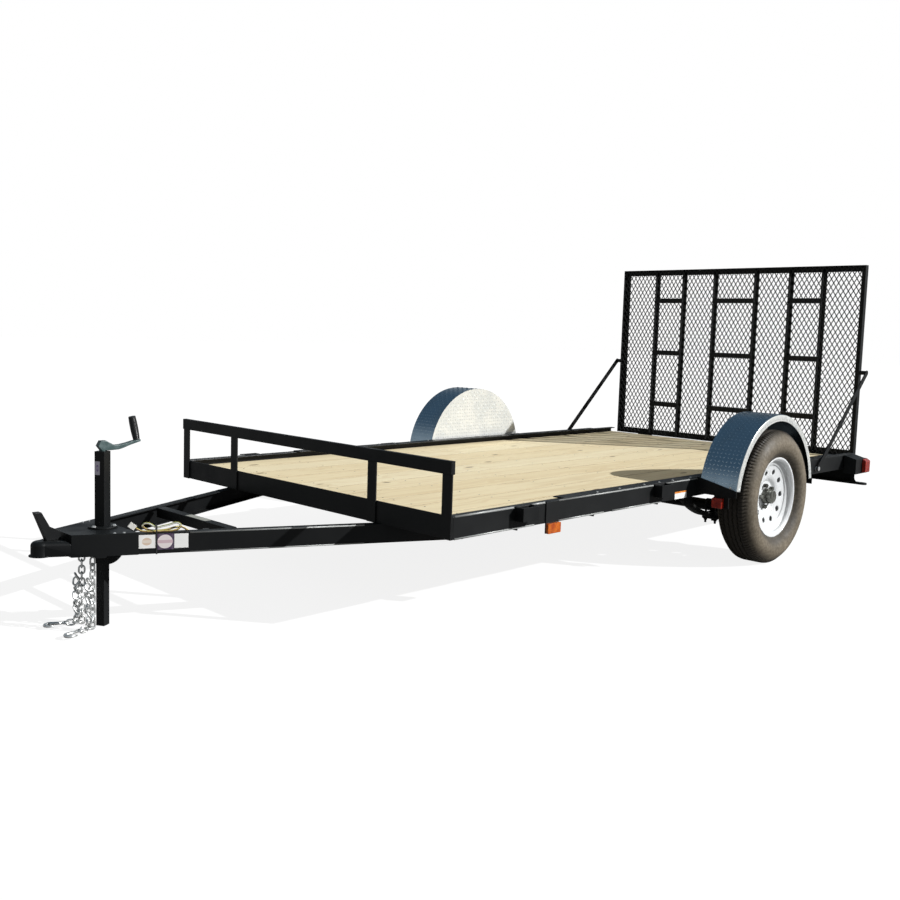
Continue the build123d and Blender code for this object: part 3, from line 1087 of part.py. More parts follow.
CONNECTOR_LENGTH = 26.0
CONNECTOR_WIDTH = 20.0
CONNECTOR_THICK = 9.0
with BuildPart() as harness_connector:
    with BuildSketch(Plane(origin=harness_path @ 1, x_dir=(TONGUE_SIN, TONGUE_COS, 0),
                           z_dir=harness_path % 1)):
        Rectangle(CONNECTOR_THICK, CONNECTOR_WIDTH)
    extrude(amount=CONNECTOR_LENGTH)
save(harness_connector, "harness_connector")

TIE_WIDTH = 5.0
TIE_THICK = 1.6
TIE_BACK = 64.0
TIE_RISE = 24.0
TIE_GAP = 0.3
tie_plane = Plane(origin=on_beam(TIE_BACK, 0, 0), x_dir=(-TONGUE_SIN, -TONGUE_COS, 0),
                  z_dir=(-TONGUE_COS, TONGUE_SIN, 0))
with BuildPart() as harness_tie:
    with BuildSketch(tie_plane):
        with Locations((TONGUE_FLANGE / 2, (TIE_RISE - TONGUE_HEIGHT) / 2)):
            Rectangle(TONGUE_FLANGE + 2 * (TIE_GAP + TIE_THICK),
                      TONGUE_HEIGHT + TIE_RISE + 2 * (TIE_GAP + TIE_THICK))
            Rectangle(TONGUE_FLANGE + 2 * TIE_GAP, TONGUE_HEIGHT + TIE_RISE + 2 * TIE_GAP,
                      mode=Mode.SUBTRACT)
    extrude(amount=TIE_WIDTH)
save(harness_tie, "harness_tie")

CLIP_LENGTH = 22.0
CLIP_INWARD = 17.0
CLIP_DEPTH = 34.0
clip_plane = Plane(origin=on_beam(HARNESS_ROUTE[0][0], TONGUE_FLANGE, 0),
                   x_dir=(-TONGUE_SIN, -TONGUE_COS, 0), z_dir=(-TONGUE_COS, TONGUE_SIN, 0))
with BuildPart() as harness_clip:
    with BuildSketch(clip_plane):
        Rectangle(CLIP_INWARD, CLIP_DEPTH, align=(Align.MIN, Align.MAX))
    extrude(amount=CLIP_LENGTH)
save(harness_clip, "harness_clip")
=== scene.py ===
import math
import random

import bpy
from mathutils import Matrix, Vector


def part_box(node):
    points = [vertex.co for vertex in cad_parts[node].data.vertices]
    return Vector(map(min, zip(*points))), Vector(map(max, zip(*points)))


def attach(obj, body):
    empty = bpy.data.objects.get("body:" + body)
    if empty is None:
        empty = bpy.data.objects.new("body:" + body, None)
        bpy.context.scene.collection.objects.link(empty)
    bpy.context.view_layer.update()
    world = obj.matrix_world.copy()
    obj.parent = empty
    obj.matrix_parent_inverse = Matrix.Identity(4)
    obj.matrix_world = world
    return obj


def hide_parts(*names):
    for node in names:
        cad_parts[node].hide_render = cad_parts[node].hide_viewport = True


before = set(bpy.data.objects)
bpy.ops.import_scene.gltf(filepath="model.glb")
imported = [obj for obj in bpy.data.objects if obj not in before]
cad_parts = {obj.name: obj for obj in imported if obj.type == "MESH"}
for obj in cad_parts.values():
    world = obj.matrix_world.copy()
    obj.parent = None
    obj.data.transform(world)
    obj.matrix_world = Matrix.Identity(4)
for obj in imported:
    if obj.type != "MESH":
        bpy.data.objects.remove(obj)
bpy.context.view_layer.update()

random.seed(7)
sides = (("left", 1), ("right", -1))
mm = 0.001


# small helpers
def feed(tree, node, inputs):
    # a socket is linked, and any other value is set
    for socket, value in inputs.items():
        if isinstance(value, bpy.types.NodeSocket):
            tree.links.new(value, node.inputs[socket])
        else:
            node.inputs[socket].default_value = value
    return node


def addNode(tree, kind, inputs=None, **settings):
    made = tree.nodes.new(kind)
    for name, value in settings.items():
        setattr(made, name, value)
    return feed(tree, made, inputs or {})


def maths(tree, operation, *values):
    return addNode(tree, "ShaderNodeMath", dict(enumerate(values)), operation=operation).outputs[0]


def vectors(tree, operation, first, second):
    return addNode(tree, "ShaderNodeVectorMath", {0: first, 1: second}, operation=operation).outputs[0]


def spread(tree, value, start, end, low=0.0, high=1.0, kind="LINEAR"):
    ends = {"Value": value, "From Min": start, "From Max": end, "To Min": low, "To Max": high}
    return addNode(tree, "ShaderNodeMapRange", ends, interpolation_type=kind).outputs["Result"]


def between(tree, mask, low, high):
    return spread(tree, mask, 0.0, 1.0, low, high)


def texturePlace(tree, kind="Object"):
    return addNode(tree, "ShaderNodeTexCoord").outputs[kind]


def splitUp(tree, vector):
    return addNode(tree, "ShaderNodeSeparateXYZ", {"Vector": vector}).outputs


def noise(tree, place, scale, detail, **others):
    grain = {"Vector": place, "Scale": scale, "Detail": detail, **others}
    return addNode(tree, "ShaderNodeTexNoise", grain).outputs["Fac"]


def ribs(tree, direction, scale, **others):
    waves = {"Vector": texturePlace(tree), "Scale": scale, **others}
    return addNode(tree, "ShaderNodeTexWave", waves, bands_direction=direction).outputs["Fac"]


def mixColour(tree, factor, first, second):
    return addNode(tree, "ShaderNodeMix", {0: factor, 6: first, 7: second}, data_type="RGBA").outputs[2]


def newMask(name, **inputs):
    # number inputs and one mask out
    group = bpy.data.node_groups.new(name, "ShaderNodeTree")
    for label, default in inputs.items():
        socket = group.interface.new_socket(name=label, in_out="INPUT", socket_type="NodeSocketFloat")
        socket.default_value = default
    group.interface.new_socket(name="Mask", in_out="OUTPUT", socket_type="NodeSocketFloat")
    return group, group.nodes.new("NodeGroupInput"), group.nodes.new("NodeGroupOutput")


def useMask(tree, group, **inputs):
    made = tree.nodes.new("ShaderNodeGroup")
    made.node_tree = group
    return feed(tree, made, inputs).outputs["Mask"]


def newMaterial(name):
    material = bpy.data.materials.new(name)
    material.use_nodes = True
    tree = material.node_tree
    shader = next(n for n in tree.nodes if n.type == "BSDF_PRINCIPLED")
    return material, tree, shader


def makeMesh(name, verts, faces, material, smooth=True, others=()):
    mesh = bpy.data.meshes.new(name)
    mesh.from_pydata([tuple(v) for v in verts], [], faces)
    mesh.validate()
    mesh.update()
    piece = bpy.data.objects.new(name, mesh)
    bpy.context.scene.collection.objects.link(piece)
    for finish in (material, *others):
        mesh.materials.append(finish)
    for polygon in mesh.polygons:
        polygon.use_smooth = smooth
    return piece


def setUp(piece, body, slot, *nodes):
    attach(piece, body)
    if nodes:
        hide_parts(*nodes)
    return piece


class Shape:
    # verts and faces of one joined piece, in metres
    def __init__(self):
        self.verts = []
        self.faces = []

    def add(self, verts, faces):
        start = len(self.verts)
        self.verts.extend(verts)
        self.faces.extend([tuple(start + i for i in face) for face in faces])

    def box(self, x0, x1, y0, y1, z0, z1):
        corners = [(x, y, z) for x in (x0, x1) for y in (y0, y1) for z in (z0, z1)]
        ends = ((0, 1, 3, 2), (4, 6, 7, 5))
        self.add(corners, (*ends, (0, 4, 5, 1), (2, 3, 7, 6), (0, 2, 6, 4), (1, 5, 7, 3)))

    def tube(self, points, radius, segments=10, closed=False):
        # radius: one number, or one for each point
        points = [Vector(p) for p in points]
        count = len(points)
        radii = [radius] * count if isinstance(radius, (int, float)) else list(radius)
        start = len(self.verts)
        side = None
        for i, point in enumerate(points):
            before = points[(i - 1) % count] if closed or i else points[0]
            after = points[(i + 1) % count] if closed or i < count - 1 else points[-1]
            along = (after - before).normalized()
            if side is None:
                guide = Vector((0, 0, 1)) if abs(along.z) < 0.9 else Vector((1, 0, 0))
                side = along.cross(guide).normalized()
            side = (side - along * side.dot(along)).normalized()
            other = along.cross(side)
            for k in range(segments):
                turn = 2 * math.pi * k / segments
                outward = side * math.cos(turn) * radii[i] + other * math.sin(turn) * radii[i]
                self.verts.append(point + outward)
        rings = count if closed else count - 1
        for i in range(rings):
            for k in range(segments):
                a = start + i * segments + k
                b = start + i * segments + (k + 1) % segments
                c = start + ((i + 1) % count) * segments + (k + 1) % segments
                d = start + ((i + 1) % count) * segments + k
                self.faces.append((a, b, c, d))
        if not closed:
            self.faces.append(tuple(start + k for k in reversed(range(segments))))
            last = start + (count - 1) * segments
            self.faces.append(tuple(last + k for k in range(segments)))

    def piece(self, name, material, smooth=True):
        return makeMesh(name, self.verts, self.faces, material, smooth)


def softEdges(piece, width):
    merge = piece.modifiers.new("weld", "WELD")
    merge.merge_threshold = 0.00002
    bevel = piece.modifiers.new("softEdges", "BEVEL")
    bevel.width = width
    bevel.segments = 2
    bevel.limit_method = "ANGLE"
    bevel.angle_limit = math.radians(32)
    bevel.harden_normals = False
    return piece


def dressNode(name, material, edge=0.0):
    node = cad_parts[name]
    for index in range(len(node.material_slots)):
        node.material_slots[index].link = "OBJECT"
        node.material_slots[index].material = material
    if not node.material_slots:
        node.data.materials.append(material)
    if edge:
        softEdges(node, edge)
    return node


# shared node groups
def makePatchMask():
    group, given, out = newMask("patchMask", Scale=4.0, Detail=4.0, Low=0.4, High=0.7)
    cloud = noise(group, texturePlace(group), given.outputs["Scale"], given.outputs["Detail"], Roughness=0.6)
    mask = spread(group, cloud, given.outputs["Low"], given.outputs["High"], kind="SMOOTHSTEP")
    group.links.new(mask, out.inputs["Mask"])
    return group


def patches(tree, scale, detail, low, high):
    return useMask(tree, patchMask, Scale=scale, Detail=detail, Low=low, High=high)


def makeSettledDust():
    group, given, out = newMask("settledDust", Scale=6.0, Amount=0.4, Everywhere=0.1)
    upward = spread(group, splitUp(group, texturePlace(group, "Normal"))["Z"], 0.3, 0.95)
    either = maths(group, "MAXIMUM", upward, given.outputs["Everywhere"])
    both = maths(group, "MULTIPLY", either, patches(group, given.outputs["Scale"], 6.0, 0.3, 0.72))
    group.links.new(maths(group, "MULTIPLY", both, given.outputs["Amount"]), out.inputs["Mask"])
    return group


def makeEdgeWearAndSheen():
    # sharp edges are lightened: partly real rubbed paint, partly a painted highlight where edges catch light
    group, given, out = newMask("edgeWearAndSheen", Reach=0.06, Amount=0.5)
    sharpness = addNode(group, "ShaderNodeNewGeometry").outputs["Pointiness"]
    edge = spread(group, sharpness, 0.505, maths(group, "ADD", 0.5, given.outputs["Reach"]))
    group.links.new(maths(group, "MULTIPLY", edge, given.outputs["Amount"]), out.inputs["Mask"])
    return group


patchMask = makePatchMask()
settledDust = makeSettledDust()
edgeWearAndSheen = makeEdgeWearAndSheen()


def bumped(tree, shader, height, strength, distance):
    bump = addNode(tree, "ShaderNodeBump", {"Strength": strength, "Distance": distance, "Height": height})
    feed(tree, shader, {"Normal": bump.outputs["Normal"]})


# finishes
def glossPaint(name, colour, dustColour, dust, everywhere, roughness, shine=0.5, edge=(0.1, 0.1, 0.1, 1)):
    material, tree, shader = newMaterial(name)
    grime = useMask(tree, settledDust, Scale=5.0, Amount=dust, Everywhere=everywhere)
    # edge colour: real edge wear together with a painted highlight on the edges
    wearAndSheen = useMask(tree, edgeWearAndSheen, Reach=0.08, Amount=0.25)
    base = mixColour(tree, grime, colour, dustColour)
    feed(tree, shader, {
        "Base Color": mixColour(tree, wearAndSheen, base, edge),
        "Roughness": between(tree, patches(tree, 9.0, 5.0, 0.35, 0.7), *roughness),
        "Specular IOR Level": shine,
    })
    bumped(tree, shader, noise(tree, texturePlace(tree), 260.0, 2.0), 0.12, 0.0006)
    return material


def sawnWood(name):
    look = {
        "pale": (0.97, 0.87, 0.6, 1), "warm": (0.87, 0.71, 0.42, 1), "latewood": (0.6, 0.4, 0.18, 1),
        "knot": (0.14, 0.07, 0.025, 1), "joint": (0.2, 0.13, 0.06, 1), "soil": (0.45, 0.36, 0.22, 1),
    }
    material, tree, shader = newMaterial(name)
    place = texturePlace(tree)
    low, pitch = deckPitch()
    count = maths(tree, "DIVIDE", maths(tree, "SUBTRACT", splitUp(tree, place)["Y"], low[1]), pitch)
    board = {"W": maths(tree, "FLOOR", count)}
    pick = addNode(tree, "ShaderNodeTexWhiteNoise", board, noise_dimensions="1D")
    moved = vectors(tree, "ADD", place, vectors(tree, "MULTIPLY", pick.outputs["Color"], (9.0, 5.0, 3.0)))
    # knots: small dark ovals, and the grain bends round them
    knotPlace = vectors(tree, "MULTIPLY", moved, (2.6, 6.0, 1.0))
    knots = addNode(tree, "ShaderNodeTexVoronoi", {"Vector": knotPlace, "Scale": 1.0}, feature="F1")
    near = spread(tree, knots.outputs["Distance"], 0.0, 0.42, 1.0, 0.0, "SMOOTHSTEP")
    core = spread(tree, knots.outputs["Distance"], 0.045, 0.1, 1.0, 0.0, "SMOOTHSTEP")
    bend = addNode(tree, "ShaderNodeCombineXYZ", {"Y": maths(tree, "MULTIPLY", near, 0.9)}).outputs[0]
    stretched = vectors(tree, "ADD", vectors(tree, "MULTIPLY", moved, (0.55, 13.0, 13.0)), bend)
    figure = noise(tree, stretched, 1.0, 3.0, Roughness=0.45, Distortion=0.7)
    rings = spread(tree, maths(tree, "SINE", maths(tree, "MULTIPLY", figure, 34.0)), 0.2, 1.0)
    fibre = noise(tree, vectors(tree, "MULTIPLY", moved, (14.0, 420.0, 420.0)), 1.0, 3.0)
    # short brown flecks that run with the grain
    flecks = noise(tree, vectors(tree, "MULTIPLY", moved, (9.0, 90.0, 1.0)), 1.0, 2.0)
    # the sawn edges of each board are dark
    half = maths(tree, "PINGPONG", count, 0.5)
    base = look["pale"]
    for share, colour in (
        (between(tree, pick.outputs["Value"], 0.0, 0.5), "warm"),
        (maths(tree, "MULTIPLY", rings, 0.26), "latewood"),
        (between(tree, fibre, 0.0, 0.22), "warm"),
        (maths(tree, "MULTIPLY", core, 0.85), "knot"),
        (spread(tree, flecks, 0.66, 0.76, 0.0, 0.55), "latewood"),
        (between(tree, patches(tree, 1.6, 6.0, 0.5, 0.85), 0.0, 0.18), "soil"),
        (spread(tree, half, 0.012, 0.034, 0.75, 0.0), "joint"),
    ):
        base = mixColour(tree, share, base, look[colour])
    feed(tree, shader, {"Base Color": base, "Roughness": between(tree, fibre, 0.62, 0.85)})
    bumped(tree, shader, maths(tree, "ADD", fibre, rings), 0.25, 0.0006)
    return material


def deckPitch():
    # the low corner of the deck and the step from board to board
    low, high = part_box("deck_boards")
    boards, gap = 10, 0.003
    return low, (high[1] - low[1] + gap) / boards


def plateWithPaintedLight(name, crown, upright, dull, shine):
    # bright sheet with painted light: a blue sky reflection painted into the metal colour over the crown, and
    # painted sunlit pale on the upright faces, picked by which way each face points
    material, tree, shader = newMaterial(name)
    facing = spread(tree, maths(tree, "ABSOLUTE", splitUp(tree, texturePlace(tree, "Normal"))["Y"]), 0.5, 0.8)
    cloud = patches(tree, 9.0, 5.0, 0.3, 0.75)
    fine = patches(tree, 70.0, 4.0, 0.35, 0.7)
    base = mixColour(tree, facing, crown, upright)
    base = mixColour(tree, between(tree, cloud, 0.0, 0.3), base, dull)
    feed(tree, shader, {
        "Base Color": mixColour(tree, between(tree, fine, 0.0, 0.15), base, dull),
        "Metallic": between(tree, facing, 1.0, 0.15),
        "Roughness": between(tree, cloud, *shine),
    })
    bumped(tree, shader, noise(tree, texturePlace(tree), 180.0, 4.0), 0.1, 0.0005)
    return material


def dustAndShadeRubber(name):
    # each ring of the tyre gets its own share of pale colour by its distance from the axle: dust on the
    # walls, and painted shade in the darker tread centre and the darker ring near the rim
    look = {
        "rubber": (0.016, 0.013, 0.01, 1), "dust": (0.2, 0.165, 0.115, 1), "pale": (0.36, 0.31, 0.24, 1),
        # radius in metres, share of dust; the low shares on the tread centre and near the rim are painted
        # shade
        "rings": (
            (0.2, 0.5), (0.214, 0.22), (0.232, 0.3), (0.25, 0.75), (0.285, 0.92),
            (0.305, 0.66), (0.322, 0.42), (0.334, 0.16), (0.346, 0.04),
        ),
    }
    material, tree, shader = newMaterial(name)
    low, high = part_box("tyre_left")
    axle = ((low[0] + high[0]) / 2, 0.0, (low[2] + high[2]) / 2)
    flat = vectors(tree, "MULTIPLY", vectors(tree, "SUBTRACT", texturePlace(tree), axle), (1.0, 0.0, 1.0))
    reach = addNode(tree, "ShaderNodeVectorMath", {0: flat}, operation="LENGTH").outputs["Value"]
    inner, outer = look["rings"][0][0], look["rings"][-1][0]
    ramp = addNode(tree, "ShaderNodeValToRGB", {"Fac": spread(tree, reach, inner, outer)})
    ramp.color_ramp.interpolation = "B_SPLINE"
    while len(ramp.color_ramp.elements) < len(look["rings"]):
        ramp.color_ramp.elements.new(0.5)
    for element, (radius, dust) in zip(ramp.color_ramp.elements, look["rings"]):
        element.position = (radius - inner) / (outer - inner)
        element.color = (dust, dust, dust, 1)
    broad = patches(tree, 6.0, 6.0, 0.25, 0.75)
    fine = patches(tree, 70.0, 5.0, 0.38, 0.66)
    dustAndShade = maths(tree, "MULTIPLY", ramp.outputs["Color"], between(tree, broad, 0.6, 1.0))
    speck = maths(tree, "MULTIPLY", dustAndShade, between(tree, fine, 0.0, 0.45))
    base = mixColour(tree, dustAndShade, look["rubber"], look["dust"])
    feed(tree, shader, {
        "Base Color": mixColour(tree, speck, base, look["pale"]),
        "Roughness": between(tree, broad, 0.5, 0.8),
        "Specular IOR Level": 0.35,
    })
    bumped(tree, shader, fine, 0.15, 0.0006)
    return material


def bareMetal(name, colour, stain, roughness=(0.25, 0.45), scale=14.0, staining=0.4, metallic=1.0):
    material, tree, shader = newMaterial(name)
    patch = patches(tree, scale, 6.0, 0.35, 0.68)
    feed(tree, shader, {
        "Base Color": mixColour(tree, between(tree, patch, 0.0, staining), colour, stain),
        "Metallic": metallic,
        "Roughness": between(tree, patch, *roughness),
    })
    bumped(tree, shader, noise(tree, texturePlace(tree), 320.0, 3.0), 0.14, 0.0005)
    return material


def lampPlastic(name, deep, bright):
    material, tree, shader = newMaterial(name)
    base = mixColour(tree, patches(tree, 40.0, 4.0, 0.3, 0.7), deep, bright)
    feed(tree, shader, {"Base Color": base, "Roughness": 0.12, "Coat Weight": 0.5})
    bumped(tree, shader, ribs(tree, "X", 110.0), 0.3, 0.001)
    return material


def plainPlastic(name, colour, worn, roughness=(0.35, 0.55), scale=30.0):
    material, tree, shader = newMaterial(name)
    patch = patches(tree, scale, 5.0, 0.35, 0.7)
    base = mixColour(tree, between(tree, patch, 0.0, 0.5), colour, worn)
    feed(tree, shader, {"Base Color": base, "Roughness": between(tree, patch, *roughness)})
    bumped(tree, shader, patch, 0.08, 0.0004)
    return material


def crankFinish(name):
    # grey-green casting with a black rubber grip at its outer end
    look = {
        "steel": (0.05, 0.085, 0.085, 1), "worn": (0.13, 0.18, 0.18, 1), "grip": (0.012, 0.012, 0.012, 1),
        "gripTop": 0.69, "gripBack": 0.1,
    }
    material, tree, shader = newMaterial(name)
    low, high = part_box("jack_leg")
    split = splitUp(tree, texturePlace(tree))
    behind = maths(tree, "LESS_THAN", split["X"], (low[0] + high[0]) / 2 - look["gripBack"])
    grip = maths(tree, "MULTIPLY", behind, maths(tree, "GREATER_THAN", split["Z"], look["gripTop"]))
    patch = patches(tree, 30.0, 5.0, 0.35, 0.7)
    steel = mixColour(tree, between(tree, patch, 0.0, 0.5), look["steel"], look["worn"])
    base = mixColour(tree, grip, steel, look["grip"])
    feed(tree, shader, {"Base Color": base, "Roughness": between(tree, patch, 0.3, 0.5)})
    bumped(tree, shader, maths(tree, "MULTIPLY", ribs(tree, "Z", 90.0), grip), 0.5, 0.002)
    return material


def blankSticker(name, ground, disc, band, discWidth):
    # a printed film with no lettering: plain ground, soft disc or band
    material, tree, shader = newMaterial(name)
    split = splitUp(tree, vectors(tree, "SUBTRACT", texturePlace(tree, "Generated"), (0.5, 0.5, 0.5)))
    squares = [maths(tree, "MULTIPLY", split[axis], split[axis]) for axis in "XZ"]
    inside = maths(tree, "LESS_THAN", maths(tree, "SQRT", maths(tree, "ADD", *squares)), discWidth / 2)
    stripe = maths(tree, "LESS_THAN", maths(tree, "ABSOLUTE", split["Z"]), 0.1)
    worn = patches(tree, 60.0, 4.0, 0.35, 0.7)
    base = mixColour(tree, inside, ground, disc)
    base = mixColour(tree, maths(tree, "MULTIPLY", stripe, inside), base, band)
    base = mixColour(tree, between(tree, worn, 0.0, 0.15), base, (0.6, 0.59, 0.55, 1))
    feed(tree, shader, {"Base Color": base, "Roughness": between(tree, worn, 0.3, 0.45)})
    return material


def stripedSheath(name):
    material, tree, shader = newMaterial(name)
    stripes = ribs(tree, "Z", 60.0, Distortion=3.0)
    base = mixColour(tree, stripes, (0.75, 0.62, 0.12, 1), (0.82, 0.82, 0.74, 1))
    roughness = between(tree, patches(tree, 50.0, 4.0, 0.3, 0.7), 0.4, 0.6)
    feed(tree, shader, {"Base Color": base, "Roughness": roughness})
    return material


blackEnamel = glossPaint(
    "blackEnamel", (0.0045, 0.005, 0.0055, 1), (0.035, 0.038, 0.036, 1),
    dust=0.22, everywhere=0.03, roughness=(0.42, 0.55), shine=0.2, edge=(0.03, 0.032, 0.032, 1),
)
springBlack = glossPaint(
    "springBlack", (0.005, 0.005, 0.005, 1), (0.05, 0.045, 0.036, 1),
    dust=0.4, everywhere=0.25, roughness=(0.4, 0.6), shine=0.25,
)
whiteEnamel = glossPaint(
    "whiteEnamel", (0.83, 0.85, 0.86, 1), (0.5, 0.48, 0.42, 1),
    dust=0.16, everywhere=0.4, roughness=(0.18, 0.3), edge=(0.84, 0.85, 0.86, 1),
)
deckPine = sawnWood("deckPine")
# fender sheet: the blue crown colour is a painted sky reflection, the pale upright colour is painted sunlight
treadPlatePaintedLight = plateWithPaintedLight(
    "treadPlatePaintedLight", (0.36, 0.47, 0.56, 1), (0.82, 0.82, 0.78, 1), (0.24, 0.3, 0.35, 1), shine=(0.18, 0.32),
)
# fender lozenges: a lighter crown copy of the sheet is a painted highlight, a greyer upright copy is painted
# shade
treadDiamondPaintedLight = plateWithPaintedLight(
    "treadDiamondPaintedLight", (0.5, 0.6, 0.68, 1), (0.52, 0.54, 0.52, 1), (0.34, 0.4, 0.46, 1), shine=(0.2, 0.32),
)
tyreRubber = dustAndShadeRubber("tyreRubber")
# groove bottoms get a near-black copy of the rubber: painted shade in the grooves
grooveShadeRubber = plainPlastic(
    "grooveShadeRubber", (0.012, 0.01, 0.008, 1), (0.05, 0.042, 0.03, 1), roughness=(0.7, 0.9), scale=40.0,
)
# pale strip finish: a painted highlight standing for glints and reflections on rounded edges
paintedGlintSteel = bareMetal(
    "paintedGlintSteel", (0.42, 0.43, 0.42, 1), (0.2, 0.21, 0.2, 1),
    roughness=(0.35, 0.5), scale=12.0, staining=0.5, metallic=0.1,
)
screwSteel = bareMetal(
    "screwSteel", (0.25, 0.23, 0.2, 1), (0.12, 0.09, 0.06, 1), roughness=(0.4, 0.6), scale=60.0, metallic=0.5,
)
zincSteel = bareMetal("zincSteel", (0.86, 0.87, 0.86, 1), (0.45, 0.45, 0.42, 1), metallic=0.75)
hubIron = bareMetal(
    "hubIron", (0.22, 0.225, 0.2, 1), (0.03, 0.028, 0.022, 1),
    roughness=(0.3, 0.6), scale=34.0, staining=0.95, metallic=0.5,
)
redLens = lampPlastic("redLens", (0.22, 0.008, 0.005, 1), (0.45, 0.03, 0.012, 1))
amberLens = lampPlastic("amberLens", (0.4, 0.06, 0.004, 1), (0.68, 0.16, 0.01, 1))
crankSteel = crankFinish("crankSteel")
blackRubber = plainPlastic("blackRubber", (0.015, 0.015, 0.015, 1), (0.05, 0.05, 0.05, 1))
whitePlastic = plainPlastic("whitePlastic", (0.8, 0.8, 0.76, 1), (0.6, 0.58, 0.5, 1))
cableSheath = stripedSheath("cableSheath")
wireBrown = plainPlastic("wireBrown", (0.16, 0.09, 0.04, 1), (0.25, 0.16, 0.08, 1))
wireGreen = plainPlastic("wireGreen", (0.12, 0.22, 0.08, 1), (0.25, 0.3, 0.15, 1))
wireYellow = plainPlastic("wireYellow", (0.75, 0.6, 0.15, 1), (0.7, 0.6, 0.35, 1))
labelWhite = plainPlastic("labelWhite", (0.94, 0.94, 0.92, 1), (0.84, 0.84, 0.82, 1), roughness=(0.3, 0.5))
labelGrey = plainPlastic("labelGrey", (0.42, 0.43, 0.38, 1), (0.25, 0.26, 0.23, 1), roughness=(0.3, 0.5))
labelOrange = plainPlastic("labelOrange", (0.8, 0.25, 0.03, 1), (0.7, 0.3, 0.08, 1))
labelLilac = blankSticker("labelLilac", (0.62, 0.6, 0.72, 1), (0.3, 0.22, 0.45, 1), (0.5, 0.45, 0.62, 1), 0.5)
labelRing = blankSticker("labelRing", (0.94, 0.93, 0.9, 1), (0.72, 0.55, 0.42, 1), (0.8, 0.7, 0.6, 1), 0.55)
labelRound = blankSticker(
    "labelRound", (0.05, 0.02, 0.07, 1), (0.8, 0.72, 0.72, 1), (0.62, 0.45, 0.5, 1), 0.86,
)
print("finishes made")

# carried-over nodes
paintedNodes = (
    "rail_left", "rail_right", "rail_cap_left", "rail_cap_right", "front_member", "rear_member",
    "crossmembers", "front_posts", "front_rail", "tongue_beam_left", "tongue_beam_right", "tongue_crossbar",
    "coupler", "coupler_latch", "jack_tube", "jack_leg", "gate_frame", "gate_rungs", "gate_hinges",
    "gate_brace_left", "gate_brace_right", "fender_brackets", "spring_hangers", "tail_lamp_housings",
    "marker_plates", "stake_pockets",
)
roundEdge = {
    "rail_left": 0.0028, "rail_right": 0.0028, "front_rail": 0.0022,
    "rail_cap_left": 0.0018, "rail_cap_right": 0.0018, "coupler": 0.002,
}
plainNodes = (
    ("leaf_springs", springBlack, 0.0012), ("axle", springBlack, 0.0012), ("deck_boards", deckPine, 0.002),
    ("rim_left", whiteEnamel, 0.0008), ("rim_right", whiteEnamel, 0.0008), ("hub_left", hubIron, 0.0008),
    ("hub_right", hubIron, 0.0008), ("brace_pivots", zincSteel, 0.0005), ("amber_markers", amberLens, 0.003),
    ("red_markers", redLens, 0.003), ("tail_lamp_lenses", redLens, 0.004), ("harness_tie", blackRubber, 0.0),
    ("harness_clip", blackRubber, 0.001), ("harness_connector", whitePlastic, 0.001),
    ("jack_crank", crankSteel, 0.001),
)
for nodeName in paintedNodes:
    dressNode(nodeName, blackEnamel, roundEdge.get(nodeName, 0.0012))
for nodeName, finish, edge in plainNodes:
    dressNode(nodeName, finish, edge)
print("nodes dressed")

# fenders
fenderLook = {
    "centreZ": 0.355, "footZ": 0.413, "radius": 0.415, "sheet": 0.003, "lip": 0.034, "steps": 96,
    "bend": 0.009, "bendSteps": 4, "pitch": 0.0215, "studMargin": 0.016,
    "studLength": 0.02, "studWidth": 0.0062, "studRise": 0.0016, "studSunk": 0.0003, "studCrest": 0.45,
}


def addStud(shape, centre, along, across, normal, look):
    half, wide, rise = look["studLength"] / 2, look["studWidth"] / 2, look["studRise"]
    sunk, crest = look["studSunk"], half * look["studCrest"]
    foot = ((-half, 0, -sunk), (0, -wide, -sunk), (half, 0, -sunk), (0, wide, -sunk))
    spots = (*foot, (-crest, 0, rise), (crest, 0, rise))
    verts = [centre + along * a + across * b + normal * c for a, b, c in spots]
    shape.add(verts, ((0, 1, 4), (1, 5, 4), (1, 2, 5), (2, 3, 5), (3, 4, 5), (3, 0, 4)))


